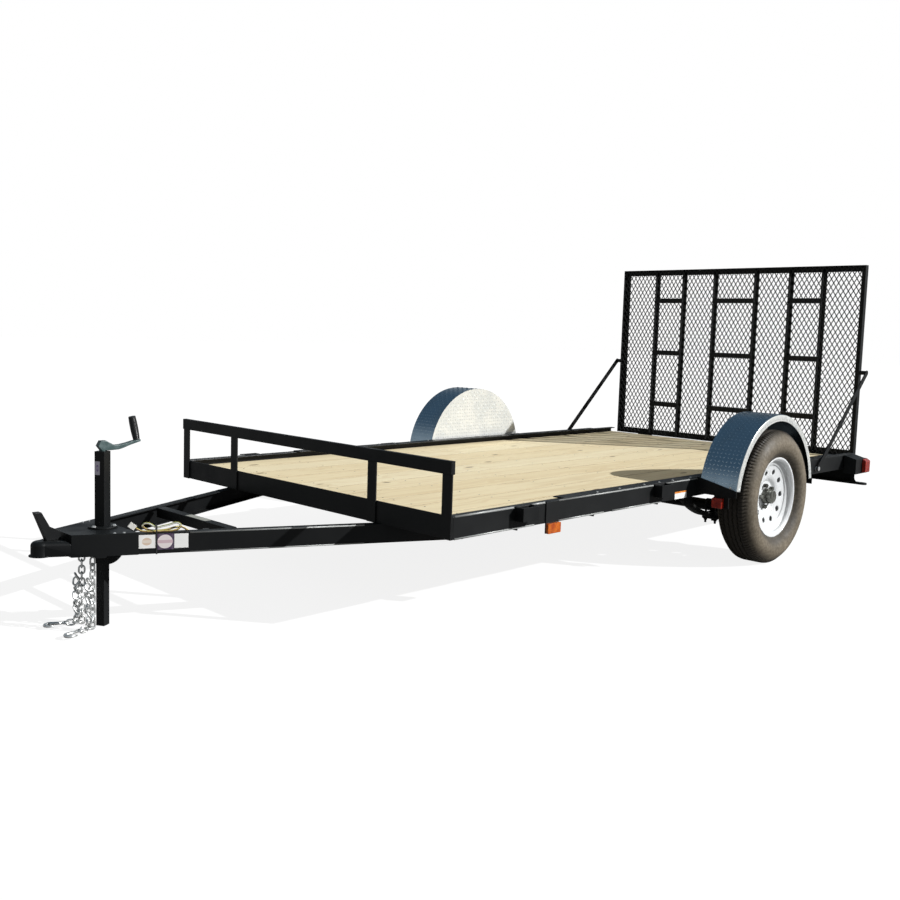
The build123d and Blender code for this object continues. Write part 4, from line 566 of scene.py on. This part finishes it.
def buildFender(side, s):
    look = fenderLook
    low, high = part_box(f"fender_{side}")
    centreX = (low[0] + high[0]) / 2
    inner, outer = (low[1], high[1]) if s > 0 else (high[1], low[1])
    radius, sheet, lip = look["radius"], look["sheet"], look["lip"]
    dip = math.asin((look["footZ"] - look["centreZ"]) / radius)
    span = math.pi - 2 * dip
    steps = look["steps"]
    turns = [dip + span * i / steps for i in range(steps + 1)]

    def onArch(turn, reach, y):
        return centreX + reach * math.cos(turn), y, look["centreZ"] + reach * math.sin(turn)

    shape = Shape()
    # one closed section swept round the arch: inner wall is added apart
    bend = look["bend"]
    corner = []
    for k in range(look["bendSteps"] + 1):
        turn = math.pi / 2 * k / look["bendSteps"]
        corner.append((radius - bend + bend * math.cos(turn), outer - s * (bend - bend * math.sin(turn))))
    section = [
        (radius, inner), *corner, (radius - lip, outer), (radius - lip, outer - s * sheet),
        (radius - sheet, outer - s * sheet), (radius - sheet, inner + s * sheet),
    ]
    for turn in turns:
        shape.verts.extend(onArch(turn, r, y) for r, y in section)
    n = len(section)
    for i in range(steps):
        for k in range(n - 1):
            a, b = i * n + k, i * n + k + 1
            c, d = (i + 1) * n + k + 1, (i + 1) * n + k
            shape.faces.append((a, b, c, d) if s > 0 else (d, c, b, a))
    for row in (0, steps):
        shape.faces.append(tuple(row * n + k for k in range(n)))
    # inner half-round wall
    for y in (inner, inner + s * sheet):
        first = len(shape.verts)
        reach = radius if y == inner else radius - sheet
        shape.verts.extend(onArch(turn, reach, y) for turn in turns)
        shape.faces.append(tuple(range(first, first + steps + 1)))
    # the plate carries painted sky reflection on the crown and painted sunlight on the upright faces
    plate = shape.piece(f"fenderPlate.{side}", treadPlatePaintedLight, smooth=False)
    softEdges(plate, 0.001)
    # raised lozenges over the crown, the lip and the inner wall
    studs = Shape()
    pitch = look["pitch"]
    alongCount = int(radius * span / pitch)
    acrossCount = int(abs(outer - inner) / pitch)
    for i in range(alongCount):
        turn = dip + span * (i + 0.5) / alongCount
        normal = Vector((math.cos(turn), 0, math.sin(turn)))
        tangent = Vector((-math.sin(turn), 0, math.cos(turn)))
        axle = Vector((0, 1, 0))
        for k in range(acrossCount):
            y = inner + s * (k + 0.5) * (abs(outer - inner) - bend) / acrossCount
            lean = 1 if (i + k) % 2 else -1
            along = (tangent + axle * lean).normalized()
            centre = Vector((centreX, y, look["centreZ"])) + normal * radius
            addStud(studs, centre, along, normal.cross(along), normal, look)
        along = (tangent + normal * (1 if i % 2 else -1)).normalized()
        facing = Vector((0, s, 0))
        centre = Vector((centreX, outer, look["centreZ"])) + normal * (radius - lip / 2 - bend / 2)
        addStud(studs, centre, along, facing.cross(along), facing, look)
    rows = int(2 * radius / pitch)
    facing = Vector((0, -s, 0))
    for i in range(rows):
        for k in range(rows):
            x = -radius + (i + 0.5) * pitch
            z = look["footZ"] - look["centreZ"] + (k + 0.5) * pitch
            if math.hypot(x, z) > radius - look["studMargin"]:
                continue
            along = Vector((1, 0, 1 if (i + k) % 2 else -1)).normalized()
            centre = Vector((centreX + x, inner, look["centreZ"] + z))
            addStud(studs, centre, along, facing.cross(along), facing, look)
    # lozenges carry a painted highlight on the crown and painted shade on the lip
    diamonds = studs.piece(f"fenderDiamonds.{side}", treadDiamondPaintedLight)
    setUp(plate, "frame", "tread_plate", f"fender_{side}")
    setUp(diamonds, "frame", "tread_plate", f"fender_{side}")


for side, s in sides:
    buildFender(side, s)
print("fenders built")

# tyres
tyreLook = {
    "radius": 0.344, "lugs": 116, "sipe": (0.0, 0.05, 0.32, 0.37), "groove": 0.006, "zigzag": 0.0015,
    "lugDepth": 0.0042,
    "half": (
        (0.0, 0.0), (7.0, 0.0), (8.5, 1.0), (15.0, 1.0), (16.5, 0.0), (32.5, 0.0), (34.0, 1.0),
        (40.0, 1.0), (41.5, 0.0),
    ),
    "shoulder": ((50.0, 1.0), (56.0, 2.6), (62.0, 6.5), (66.5, 12.0)),
    "wall": (
        (75.8, 20.0), (84.5, 30.0), (91.7, 42.0), (96.5, 55.0), (98.6, 66.0), (99.0, 77.0), (97.8, 88.0),
        (94.6, 100.0), (93.1, 104.0), (89.2, 112.0), (84.7, 119.0), (82.4, 122.0), (77.0, 128.0),
        (69.0, 135.0), (58.0, 154.0),
    ),
}


def buildTyre(side, s):
    look = tyreLook
    low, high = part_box(f"tyre_{side}")
    centre = Vector(((low[0] + high[0]) / 2, (low[1] + high[1]) / 2, (low[2] + high[2]) / 2))
    radius = look["radius"]
    segments = look["lugs"] * len(look["sipe"])
    half = look["half"]
    verts, faces, shadeAndCrisp = [], [], []
    for k in range(segments):
        lug, part = divmod(k, len(look["sipe"]))
        turn = 2 * math.pi * (lug + look["sipe"][part]) / look["lugs"]
        wave = abs((k % 8) / 4.0 - 1.0) * 2 - 1
        cut = look["lugDepth"] if part in (1, 2) else 0.0
        shift = look["zigzag"] * wave
        profile = [(y * mm + (shift if y > 5 else 0), radius - deep * look["groove"]) for y, deep in half]
        profile += [(y * mm, radius - drop * mm - cut) for y, drop in look["shoulder"]]
        profile += [(y * mm, radius - drop * mm) for y, drop in look["wall"]]
        ring = [(-y, r) for y, r in reversed(profile[1:])] + profile
        for y, r in ring:
            verts.append((centre.x + r * math.cos(turn), centre.y + y, centre.z + r * math.sin(turn)))
    n = len(ring)
    middle = n // 2
    shoulderStart, shoulderEnd = len(half) - 1, len(half) + len(look["shoulder"])
    for k in range(segments):
        after = (k + 1) % segments
        for j in range(n):
            following = (j + 1) % n
            faces.append((k * n + j, k * n + following, after * n + following, after * n + j))
            near, far = sorted((abs(j - middle), abs(following - middle)))
            grooved = far < len(half) and half[near][1] + half[far][1] > 1.5
            siped = shoulderStart <= near and far < shoulderEnd and k % 4 in (0, 1, 2)
            shadeAndCrisp.append((grooved or (siped and k % 4 == 1), far < shoulderEnd and far - near == 1))
    tyre = makeMesh(f"tyreTread.{side}", verts, faces, tyreRubber, others=(grooveShadeRubber,))
    # groove and sipe bottoms take the near-black painted-shade material
    for polygon, (dark, crisp) in zip(tyre.data.polygons, shadeAndCrisp):
        polygon.material_index = int(dark)
        polygon.use_smooth = not crisp
    return setUp(tyre, f"wheel_{side}", "tyre_rubber", f"tyre_{side}")


for side, s in sides:
    buildTyre(side, s)
print("tyres built")

# gate mesh
meshLook = {"cellWidth": 0.033, "cellHeight": 0.052, "strand": 0.0056, "thick": 0.0024, "lean": 0.0003}


def buildGateMesh():
    look = meshLook
    low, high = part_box("gate_mesh")
    midX = (low[0] + high[0]) / 2
    width, height = high[1] - low[1], high[2] - low[2]
    columns = round(width / look["cellWidth"]) * 2
    rows = round(height / look["cellHeight"]) * 2
    stepY, stepZ = width / columns, height / rows
    shape = Shape()
    for i in range(columns):
        for j in range(rows + 1):
            if (i + j) % 2:
                continue
            for rise in (1, -1):
                if not 0 <= j + rise <= rows:
                    continue
                y0, z0 = low[1] + i * stepY, low[2] + j * stepZ
                y1, z1 = y0 + stepY, z0 + rise * stepZ
                run = Vector((0, y1 - y0, z1 - z0)).normalized()
                flat = Vector((0, -run.z, run.y)) * look["strand"] / 2
                deep = Vector((look["thick"] / 2, 0, 0))
                tip = Vector((look["lean"] * rise, 0, 0))
                verts = []
                for point, out in ((Vector((midX, y0, z0)), tip), (Vector((midX, y1, z1)), -tip)):
                    for a, b in ((-1, -1), (1, -1), (1, 1), (-1, 1)):
                        verts.append(point + out * a + flat * a + deep * b)
                shape.add(verts, ((0, 1, 5, 4), (1, 2, 6, 5), (2, 3, 7, 6), (3, 0, 4, 7)))
    mesh = shape.piece("gateMesh", blackEnamel, smooth=False)
    return setUp(mesh, "gate", "black_paint", "gate_mesh")


buildGateMesh()
print("gate mesh built")

# safety chains
originShift = -877.45
chainLook = {
    "x": 3113.0 + originShift, "y": 44.0, "top": 276.5, "wire": 7.0, "innerWidth": 13.0, "innerLength": 23.98,
    "slack": 0.4, "links": 11, "turn": {"left": 14.0, "right": -24.0},
    "eye": {
        "height": 281.8, "width": 11.0, "drop": 6.5, "wire": 3.5,
        "turns": (0.0, 0.5, 1.1, 1.57, 2.1, 2.7, math.pi),
    },
    "hook": {"eyeRadius": 10.1, "eyeWire": 4.0, "bend": 18.5, "reach": 52.0, "aside": 17.0},
    # the spare chain hangs doubled beside the fall: start height, links, pitch, offset towards the hook, lean
    "spare": {"top": 205.0, "links": 10, "pitch": 17.5, "offset": 17.0, "lean": 0.5},
}


def addLink(shape, centre, along, across, look):
    # a stadium ring in the plane of along and across
    radius = (look["innerWidth"] + look["wire"]) / 2 * mm
    straight = (look["innerLength"] + look["wire"]) / 2 * mm - radius
    points = []
    for end in (1, -1):
        for i in range(9):
            turn = math.pi * i / 8
            outward = along * (straight + radius * math.sin(turn)) + across * radius * math.cos(turn)
            points.append(centre + outward * end)
    shape.tube(points, look["wire"] / 2 * mm, segments=8, closed=True)


def buildChains():
    look = chainLook
    shape = Shape()
    for side, s in sides:
        turn = math.radians(look["turn"][side])
        along = Vector((math.cos(turn), math.sin(turn), 0))
        across = Vector((-math.sin(turn), math.cos(turn), 0))
        up = Vector((0, 0, 1))
        drop = Vector((look["x"], s * look["y"], 0)) * mm
        eye = look["eye"]
        loop = []
        for a in eye["turns"]:
            rise = eye["height"] - eye["drop"] * math.sin(a)
            loop.append(drop + (up * rise + along * eye["width"] * math.cos(a)) * mm)
        shape.tube(loop, eye["wire"] * mm, segments=8)
        outer = look["innerLength"] + 2 * look["wire"]
        pitch = look["innerLength"] - look["slack"]
        for i in range(look["links"]):
            centre = drop + up * (look["top"] - outer / 2 - i * pitch) * mm
            addLink(shape, centre, up, across if i % 2 else along, look)
        spare = look["spare"]
        for i in range(spare["links"]):
            sway = along * (spare["offset"] + 3.0 * math.sin(2.1 * i)) + across * 4.0 * math.cos(1.7 * i)
            twist = i * 1.25
            facing = along * math.cos(twist) + across * math.sin(twist)
            leaning = (up + facing * spare["lean"] * (-1) ** i).normalized()
            centre = drop + (sway + up * (spare["top"] - outer / 2 - i * spare["pitch"])) * mm
            addLink(shape, centre, leaning, leaning.cross(facing).normalized(), look)
        flatAxis = (look["innerWidth"] + 2 * look["wire"]) / 2
        flat = drop + up * flatAxis * mm + along * (look["innerLength"] / 2 + look["wire"] / 2) * mm
        addLink(shape, flat, along, across, look)
        edge = flat + along * pitch * mm
        addLink(shape, edge, along, up, look)
        eyeCentre = edge + along * (look["innerLength"] / 2 + 6.0 - look["slack"]) * mm
        hook = look["hook"]
        turns = [2 * math.pi * k / 14 for k in range(14)]
        reach = hook["eyeRadius"] * mm
        ring = [eyeCentre + (along * math.cos(a) + across * math.sin(a)) * reach for a in turns]
        shape.tube(ring, hook["eyeWire"] * mm, segments=8, closed=True)
        bend = eyeCentre + (along * hook["reach"] + across * hook["aside"]) * mm
        turns = [math.pi * k / 8 for k in range(9)]
        line = [eyeCentre + along * reach for reach in (0.012, 0.03, 0.05)]
        line += [bend + (along * math.sin(a) - across * math.cos(a)) * hook["bend"] * mm for a in turns]
        line.append(bend - along * 0.012 + across * 0.02)
        radii = [0.0055, 0.006, 0.0065] + [0.0066] * 5 + [0.006, 0.0052, 0.0045, 0.004, 0.0028]
        shape.tube(line, radii, segments=8)
    chains = shape.piece("chainLinks", zincSteel)
    return setUp(chains, "frame", "zinc_steel", "safety_chains")


buildChains()
print("chains built")

# wiring harness
harnessLook = {
    # thin wires beside the sheath: sideways, above, radius, finish
    "wires": (
        (4.2, 0.6, 1.5, "white"), (-4.2, 0.4, 1.5, "brown"),
        (1.9, 2.9, 1.3, "green"), (-1.9, 2.9, 1.3, "yellow"),
    ),
    "diameter": 0.006, "length": 0.5613, "datumX": 3000.0, "apex": 3350.0, "halfAngle": 25.0, "top": 365.0,
    # back along the beam, in from its outer face, above its top
    "route": (
        (236, 47, -22), (208, 47, -22), (182, 45, -5), (160, 38, 13), (134, 29, 14), (106, 25, 6),
        (78, 24, 3.6), (52, 25, 4.5), (30, 25, 10), (16, 24, 22), (24, 21, 34), (44, 18, 33),
        (66, 16, 15), (90, 15, 22), (114, 15, 26), (134, 15, 34), (150, 13, 30), (152, 11, 16),
        (138, 9, 6), (112, 9, 3.6), (84, 12, 3.6), (56, 9, 3.8), (30, 9, 4.5), (8, 9, 8), (-8, 8, 20),
    ),
}


def onBeam(back, inward, rise):
    look = harnessLook
    turn = math.radians(look["halfAngle"])
    x = look["datumX"] - back * math.cos(turn) - inward * math.sin(turn)
    y = (look["apex"] - look["datumX"]) * math.tan(turn) + back * math.sin(turn) - inward * math.cos(turn)
    return Vector((x + originShift, y, look["top"] + rise)) * mm


def routeCurve(name, points, resolution):
    curve = bpy.data.curves.new(name, "CURVE")
    curve.dimensions = "3D"
    spline = curve.splines.new("NURBS")
    spline.points.add(len(points) - 1)
    for place, point in zip(spline.points, points):
        place.co = (*point, 1.0)
    spline.order_u = 3
    spline.use_endpoint_u = True
    spline.resolution_u = resolution
    return curve


def buildHarness():
    look = harnessLook
    points = [onBeam(*spot) for spot in look["route"]]
    curve = routeCurve("harnessCable", points, 12)
    curve.bevel_depth = look["diameter"] / 2
    curve.bevel_resolution = 3
    curve.use_fill_caps = True
    cable = bpy.data.objects.new("harnessCable", curve)
    bpy.context.scene.collection.objects.link(cable)
    curve.materials.append(cableSheath)
    setUp(cable, "frame", "cable_sheath", "wiring_harness")
    wires = buildWires(points)


def buildWires(points):
    # the thin wires follow the sheath's own line
    look = harnessLook
    holder = bpy.data.objects.new("wireGuide", routeCurve("wireGuide", points, 6))
    line = bpy.data.meshes.new_from_object(holder)
    spots = [v.co.copy() for v in line.vertices]
    bpy.data.objects.remove(holder)
    finish = {"white": whitePlastic, "brown": wireBrown, "green": wireGreen, "yellow": wireYellow}
    made = []
    for sideways, above, radius, colour in look["wires"]:
        run = []
        for i, spot in enumerate(spots):
            along = (spots[min(i + 1, len(spots) - 1)] - spots[max(i - 1, 0)]).normalized()
            across = along.cross(Vector((0, 0, 1)))
            across = across.normalized() if across.length > 0.05 else Vector((1, 0, 0))
            run.append(spot + across * sideways * mm + across.cross(along) * above * mm)
        shape = Shape()
        shape.tube(run, radius * mm, segments=7)
        made.append(setUp(shape.piece(f"harnessWire.{colour}", finish[colour]), "frame", "cable_sheath"))
    return made


buildHarness()
print("harness built")

# stickers: thin films with nothing printed on them that can be read
stickerLook = {
    "film": 0.4,
    # on the near beam's outer face: from, to along the beam, top and bottom against its top, finish
    "beam": (
        (1.0, 63.0, -5.0, -55.0, "ring"), (65.0, 127.0, -2.5, -62.0, "round"),
        (129.0, 179.0, -5.0, -58.0, "white"),
    ),
    "jack": {"low": 567.0, "high": 617.0, "width": 20.5, "inset": 18.5, "turn": 30.0, "face": 20.0},
    "rail": {"rear": 530.0, "front": 636.0, "low": 366.0, "high": 402.0, "stripe": 8.0},
    "crossbar": {"back": 5.0, "front": 35.0, "low": -50.0, "high": 95.0},
}


def filmBox(name, corner, along, across, outward, material):
    # corner, then the two edge vectors and the side that it faces
    film = stickerLook["film"] * mm
    if along.cross(across).dot(outward) < 0:
        along, across = across, along
    shape = Shape()
    ring = [corner, corner + along, corner + along + across, corner + across]
    shape.add([v - outward * film for v in ring] + [v + outward * film for v in ring],
              ((3, 2, 1, 0), (4, 5, 6, 7), (0, 1, 5, 4), (1, 2, 6, 5), (2, 3, 7, 6), (3, 0, 4, 7)))
    return setUp(shape.piece(name, material, smooth=False), "frame", "connector_white")


def buildStickers():
    look = stickerLook
    finish = {"ring": labelRing, "round": labelRound, "white": labelWhite}
    for back, front, top, bottom, kind in look["beam"]:
        corner = onBeam(back, 0, bottom)
        along, across = onBeam(front, 0, bottom) - corner, onBeam(back, 0, top) - corner
        outward = (onBeam(0, -1, 0) - onBeam(0, 0, 0)).normalized()
        filmBox(f"beamSticker.{kind}", corner, along, across, outward, finish[kind])
    low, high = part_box("jack_leg")
    jack = look["jack"]
    turn = math.radians(jack["turn"])
    outward = Vector((math.cos(turn), math.sin(turn), 0))
    sideways = Vector((-math.sin(turn), math.cos(turn), 0))
    middle = Vector(((low[0] + high[0]) / 2, (low[1] + high[1]) / 2, jack["low"] * mm))
    corner = middle + outward * jack["face"] * mm - sideways * jack["inset"] * mm
    across = Vector((0, 0, (jack["high"] - jack["low"]) * mm))
    filmBox("jackSticker", corner, sideways * jack["width"] * mm, across, outward, labelLilac)
    rail = look["rail"]
    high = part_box("rail_left")[1]
    x0, x1 = ((rail[end] + originShift) * mm for end in ("rear", "front"))
    outward = Vector((0, 1, 0))
    along = Vector((x1 - x0, 0, 0))
    stripeLow = rail["high"] - rail["stripe"]
    for name, bottom, top, label in (
        ("railSticker", rail["low"], stripeLow, labelWhite),
        ("railStickerStripe", stripeLow, rail["high"], labelOrange),
    ):
        corner = Vector((x0, high[1], bottom * mm))
        filmBox(name, corner, along, Vector((0, 0, (top - bottom) * mm)), outward, label)
    bar = look["crossbar"]
    low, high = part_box("tongue_crossbar")
    corner = Vector((high[0] - bar["front"] * mm, bar["low"] * mm, high[2]))
    along = Vector(((bar["front"] - bar["back"]) * mm, 0, 0))
    across = Vector((0, (bar["high"] - bar["low"]) * mm, 0))
    filmBox("crossbarSticker", corner, along, across, Vector((0, 0, 1)), labelGrey)


buildStickers()
print("stickers placed")

# rolled outer edges of the side rails and tongue beams: pale strips that paint the sun glint and the sky and
# floor reflections on the rounded edges, broken at the fittings
glintStripLook = {
    "radius": 4.2, "sunk": 2.6, "top": ((2150.0, 1818.0), (1708.0, 1625.0), (1533.0, 828.0), (718.0, 420.0)),
    "bottom": ((2150.0, 1690.0), (1530.0, 1215.0), (1150.0, 760.0)),
    "beam": (185.0, 850.0), "beamDrop": -76.2, "beamRadius": 3.4,
}


def buildRailGlintStrips():
    look = glintStripLook
    for side, s in sides:
        shape = Shape()
        low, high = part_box(f"rail_{side}")
        y = high[1] if s > 0 else low[1]
        for runs, z, way in ((look["top"], high[2], 1), (look["bottom"], low[2], -1)):
            sunk = look["sunk"] * mm
            for front, rear in runs:
                ends = [((x + originShift) * mm, y - s * sunk, z - way * sunk) for x in (rear, front)]
                shape.tube(ends, look["radius"] * mm, segments=12)
        for rise, way in ((0.0, 1), (look["beamDrop"], -1)):
            ends = [onBeam(back, look["sunk"], rise - way * look["sunk"]) for back in look["beam"]]
            shape.tube([(end.x, s * end.y, end.z) for end in ends], look["beamRadius"] * mm, segments=12)
        # painted highlight strips along the rounded edges
        edge = shape.piece(f"railGlintStrips.{side}", paintedGlintSteel)
        setUp(edge, "frame", "black_paint")


buildRailGlintStrips()
print("rail edges built")

# bolt heads, screws and clamps
fastenerLook = {
    "boltRadius": 6.5, "boltHeight": 5.0,
    "capBolts": (1252.0, 1085.0, 887.0, 760.0, 643.0, 480.0), "capInset": 12.0,
    "flangeBolts": 3, "flangeCircle": 42.0, "flangeThick": 6.0,
    "couplerPlate": 5.2, "couplerBolts": ((3070.0, 128.0), (3040.0, 140.0)),
    "crossmembers": (0.127, 0.270, 0.412, 0.554, 0.696, 0.838, 0.948),
    "boards": 10, "screwRadius": 4.5, "screwInset": 0.2, "screwScatter": 0.006,
    "footBolts": (38.0, 165.0),
    "clampHalf": 36.0, "clampRod": 6.0, "clampLow": 160.0, "clampTop": 286.0, "clampBend": 0.004,
    "clampPlate": (50.0, 42.0, 12.0), "plateRise": 24.0, "springHalf": 22.5,
}


def addBolt(shape, centre, normal, radius, height, corners=6):
    # hex head on a round washer
    normal = Vector(normal).normalized()
    guide = Vector((0, 0, 1)) if abs(normal.z) < 0.9 else Vector((1, 0, 0))
    across = normal.cross(guide).normalized()
    along = across.cross(normal)
    washer = (14, radius * 1.35, height * 0.25, 0.0)
    for count, reach, rise, inset in (washer, (corners, radius, height, radius * 0.12)):
        start = len(shape.verts)
        for level, shrink in ((-0.0006, 0.0), (rise * 0.8, 0.0), (rise, inset)):
            for k in range(count):
                turn = 2 * math.pi * k / count
                outward = across * math.cos(turn) + along * math.sin(turn)
                shape.verts.append(centre + normal * level + outward * (reach - shrink))
        for level in (0, 1):
            for k in range(count):
                a, b = start + level * count + k, start + level * count + (k + 1) % count
                shape.faces.append((a, b, b + count, a + count))
        shape.faces.append(tuple(start + 2 * count + k for k in range(count)))
        shape.faces.append(tuple(start + k for k in reversed(range(count))))


def buildFasteners():
    look = fastenerLook
    radius, height = look["boltRadius"] * mm, look["boltHeight"] * mm
    up = Vector((0, 0, 1))
    dark, bright = Shape(), Shape()
    for side, s in sides:
        low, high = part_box(f"rail_cap_{side}")
        y = high[1] - look["capInset"] * mm if s > 0 else low[1] + look["capInset"] * mm
        for x in look["capBolts"]:
            addBolt(bright, Vector(((x + originShift) * mm, y, high[2])), up, radius * 0.7, height * 0.6)
        low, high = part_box(f"fender_{side}")
        inner = low[1] if s > 0 else high[1]
        for reach in look["footBolts"]:
            for x, way in ((high[0], 1), (low[0], -1)):
                foot = Vector((x - way * 0.002, inner + s * reach * mm, low[2] + 0.012))
                addBolt(bright, foot, Vector((way, 0, 0.1)), radius * 0.8, height)
    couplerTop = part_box("tongue_beam_left")[1][2] + look["couplerPlate"] * mm
    flangeTop = couplerTop + look["flangeThick"] * mm
    jackLow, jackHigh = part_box("jack_leg")
    jackX = (jackLow[0] + jackHigh[0]) / 2
    for k in range(look["flangeBolts"]):
        turn = 2 * math.pi * (k + 0.15) / look["flangeBolts"]
        reach = look["flangeCircle"] * mm
        spot = Vector((jackX + reach * math.cos(turn), reach * math.sin(turn), flangeTop))
        addBolt(bright, spot, up, radius, height)
    for x, y in look["couplerBolts"]:
        for s in (1, -1):
            spot = Vector(((x + originShift) * mm, s * y * mm, couplerTop))
            addBolt(bright, spot, up, radius * 0.6, height * 0.5)
    deckLow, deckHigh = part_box("deck_boards")
    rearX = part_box("rear_member")[0][0]
    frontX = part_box("front_member")[1][0]
    pitch = (deckHigh[1] - deckLow[1] + 0.003) / look["boards"]
    screws = Shape()
    for share in look["crossmembers"]:
        x = rearX + share * (frontX - rearX)
        for board in range(look["boards"]):
            for part in (look["screwInset"], 1 - look["screwInset"]):
                y = deckLow[1] + (board + part) * pitch
                astray = [random.uniform(-look["screwScatter"], look["screwScatter"]) for axis in "xy"]
                spot = Vector((x + astray[0], y + astray[1], deckHigh[2]))
                addBolt(screws, spot, up, look["screwRadius"] * mm * 0.7, 0.0008, corners=8)
    setUp(screws.piece("deckScrews", screwSteel, smooth=False), "frame", "zinc_steel")
    setUp(bright.piece("boltHeads", zincSteel, smooth=False), "frame", "zinc_steel")
    # spring clamps round the axle
    axleX = (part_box("tyre_left")[0][0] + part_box("tyre_left")[1][0]) / 2
    for side, s in sides:
        y = s * (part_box("leaf_springs")[1][1] - look["springHalf"] * mm)
        half, rod = look["clampHalf"] * mm, look["clampRod"] * mm
        reach = look["springHalf"] * mm + rod
        top = look["clampTop"] * mm
        for x in (axleX - half, axleX + half):
            foot = look["clampLow"] * mm
            bend = look["clampBend"]
            leg = [(y - reach, foot), (y - reach, top - bend), (y - reach + bend, top)]
            mirrored = [(2 * y - across, z) for across, z in reversed(leg)]
            dark.tube([(x, across, z) for across, z in leg + mirrored], rod)
            for end in (-reach, reach):
                addBolt(dark, Vector((x, y + end, foot + look["plateRise"] * mm)), -up, rod * 1.8, 0.01)
        length, width, thick = (v * mm for v in look["clampPlate"])
        plateLow = (look["clampLow"] + look["plateRise"]) * mm
        dark.box(axleX - length, axleX + length, y - width, y + width, plateLow, plateLow + thick)
    setUp(dark.piece("springClamps", springBlack), "frame", "spring_steel")


buildFasteners()
print("fasteners built")

# camera, light, floor
cameraFit = {
    "place": (4710.0 + originShift, 3412.0, 1123.0), "yaw": 3.9108, "pitch": 0.0934, "roll": 0.0324,
    "focalPixels": 977.0, "centre": (456.8, 425.8), "picture": 900.0, "sensor": 36.0,
}


def placeCamera():
    fit = cameraFit
    yaw, pitch = fit["yaw"], fit["pitch"]
    level = math.cos(pitch)
    forward = Vector((math.cos(yaw) * level, math.sin(yaw) * level, -math.sin(pitch)))
    right = forward.cross(Vector((0, 0, 1))).normalized()
    up = right.cross(forward)
    c, s = math.cos(fit["roll"]), math.sin(fit["roll"])
    rolledRight = right * c + up * s
    rolledUp = up * c - right * s
    data = bpy.data.cameras.new("viewCamera")
    data.sensor_width = fit["sensor"]
    data.lens = fit["focalPixels"] / fit["picture"] * fit["sensor"]
    data.shift_x = -(fit["centre"][0] - fit["picture"] / 2) / fit["picture"]
    data.shift_y = (fit["centre"][1] - fit["picture"] / 2) / fit["picture"]
    data.clip_end = 200.0
    camera = bpy.data.objects.new("viewCamera", data)
    bpy.context.scene.collection.objects.link(camera)
    turn = Matrix((rolledRight, rolledUp, -forward)).transposed().to_4x4()
    camera.matrix_world = Matrix.Translation(Vector(fit["place"]) * mm) @ turn
    bpy.context.scene.camera = camera


def buildStage():
    scene = bpy.context.scene
    look = {
        "fill": 0.24, "sunStrength": 4.4, "sunAngle": 0.53, "sunFrom": (-1.07, 1.5, 1.0),
        "floorGlow": 0.86, "floorGloss": 0.05, "floorColour": (0.2, 0.2, 0.2, 1), "floorHalf": 60.0,
        "backdrop": (0.5, 0.52, 0.53, 1), "ceiling": (0.08, 0.13, 0.18, 1),
        "ceilingStart": 0.08, "ceilingFull": 0.6,
    }
    world = bpy.data.worlds.new("studioWorld")
    scene.world = world
    world.use_nodes = True
    tree = world.node_tree
    tree.nodes.clear()
    path = addNode(tree, "ShaderNodeLightPath").outputs
    mirrored = maths(tree, "MAXIMUM", path["Is Glossy Ray"], path["Is Transmission Ray"])
    seen = maths(tree, "MAXIMUM", path["Is Camera Ray"], mirrored)
    # gloss sees the pale backdrop low down and a dim ceiling above it
    rise = splitUp(tree, texturePlace(tree, "Generated"))["Z"]
    high = spread(tree, rise, look["ceilingStart"], look["ceilingFull"], kind="SMOOTHSTEP")
    gloss = mixColour(tree, high, look["backdrop"], look["ceiling"])
    colour = mixColour(tree, mirrored, (1, 1, 1, 1), gloss)
    strength = between(tree, seen, look["fill"], 1.0)
    back = addNode(tree, "ShaderNodeBackground", {"Color": colour, "Strength": strength})
    out = addNode(tree, "ShaderNodeOutputWorld")
    tree.links.new(back.outputs[0], out.inputs["Surface"])
    sun = bpy.data.lights.new("keyLight", "SUN")
    sun.energy = look["sunStrength"]
    sun.angle = math.radians(look["sunAngle"])
    lamp = bpy.data.objects.new("keyLight", sun)
    scene.collection.objects.link(lamp)
    lamp.rotation_euler = Vector(look["sunFrom"]).to_track_quat("Z", "Y").to_euler()
    # pale floor that keeps the shadow
    material = bpy.data.materials.new("paleFloor")
    material.use_nodes = True
    tree = material.node_tree
    tree.nodes.clear()
    path = addNode(tree, "ShaderNodeLightPath").outputs
    direct = maths(tree, "MULTIPLY", path["Is Camera Ray"], look["floorGlow"])
    gloss = maths(tree, "MULTIPLY", path["Is Glossy Ray"], look["floorGloss"])
    glowing = {"Color": (1, 1, 1, 1), "Strength": maths(tree, "MAXIMUM", direct, gloss)}
    matte = addNode(tree, "ShaderNodeBsdfDiffuse", {"Color": look["floorColour"]})
    glow = addNode(tree, "ShaderNodeEmission", glowing)
    both = addNode(tree, "ShaderNodeAddShader", {0: matte.outputs[0], 1: glow.outputs[0]})
    out = addNode(tree, "ShaderNodeOutputMaterial")
    tree.links.new(both.outputs[0], out.inputs["Surface"])
    size, level = look["floorHalf"], -0.0005
    corners = [(x * size, y * size, level) for x, y in ((-1, -1), (1, -1), (1, 1), (-1, 1))]
    floor = makeMesh("paleFloor", corners, [(0, 1, 2, 3)], material, smooth=False)
    scene.view_settings.view_transform = "Standard"


placeCamera()
buildStage()
print("stage ready")
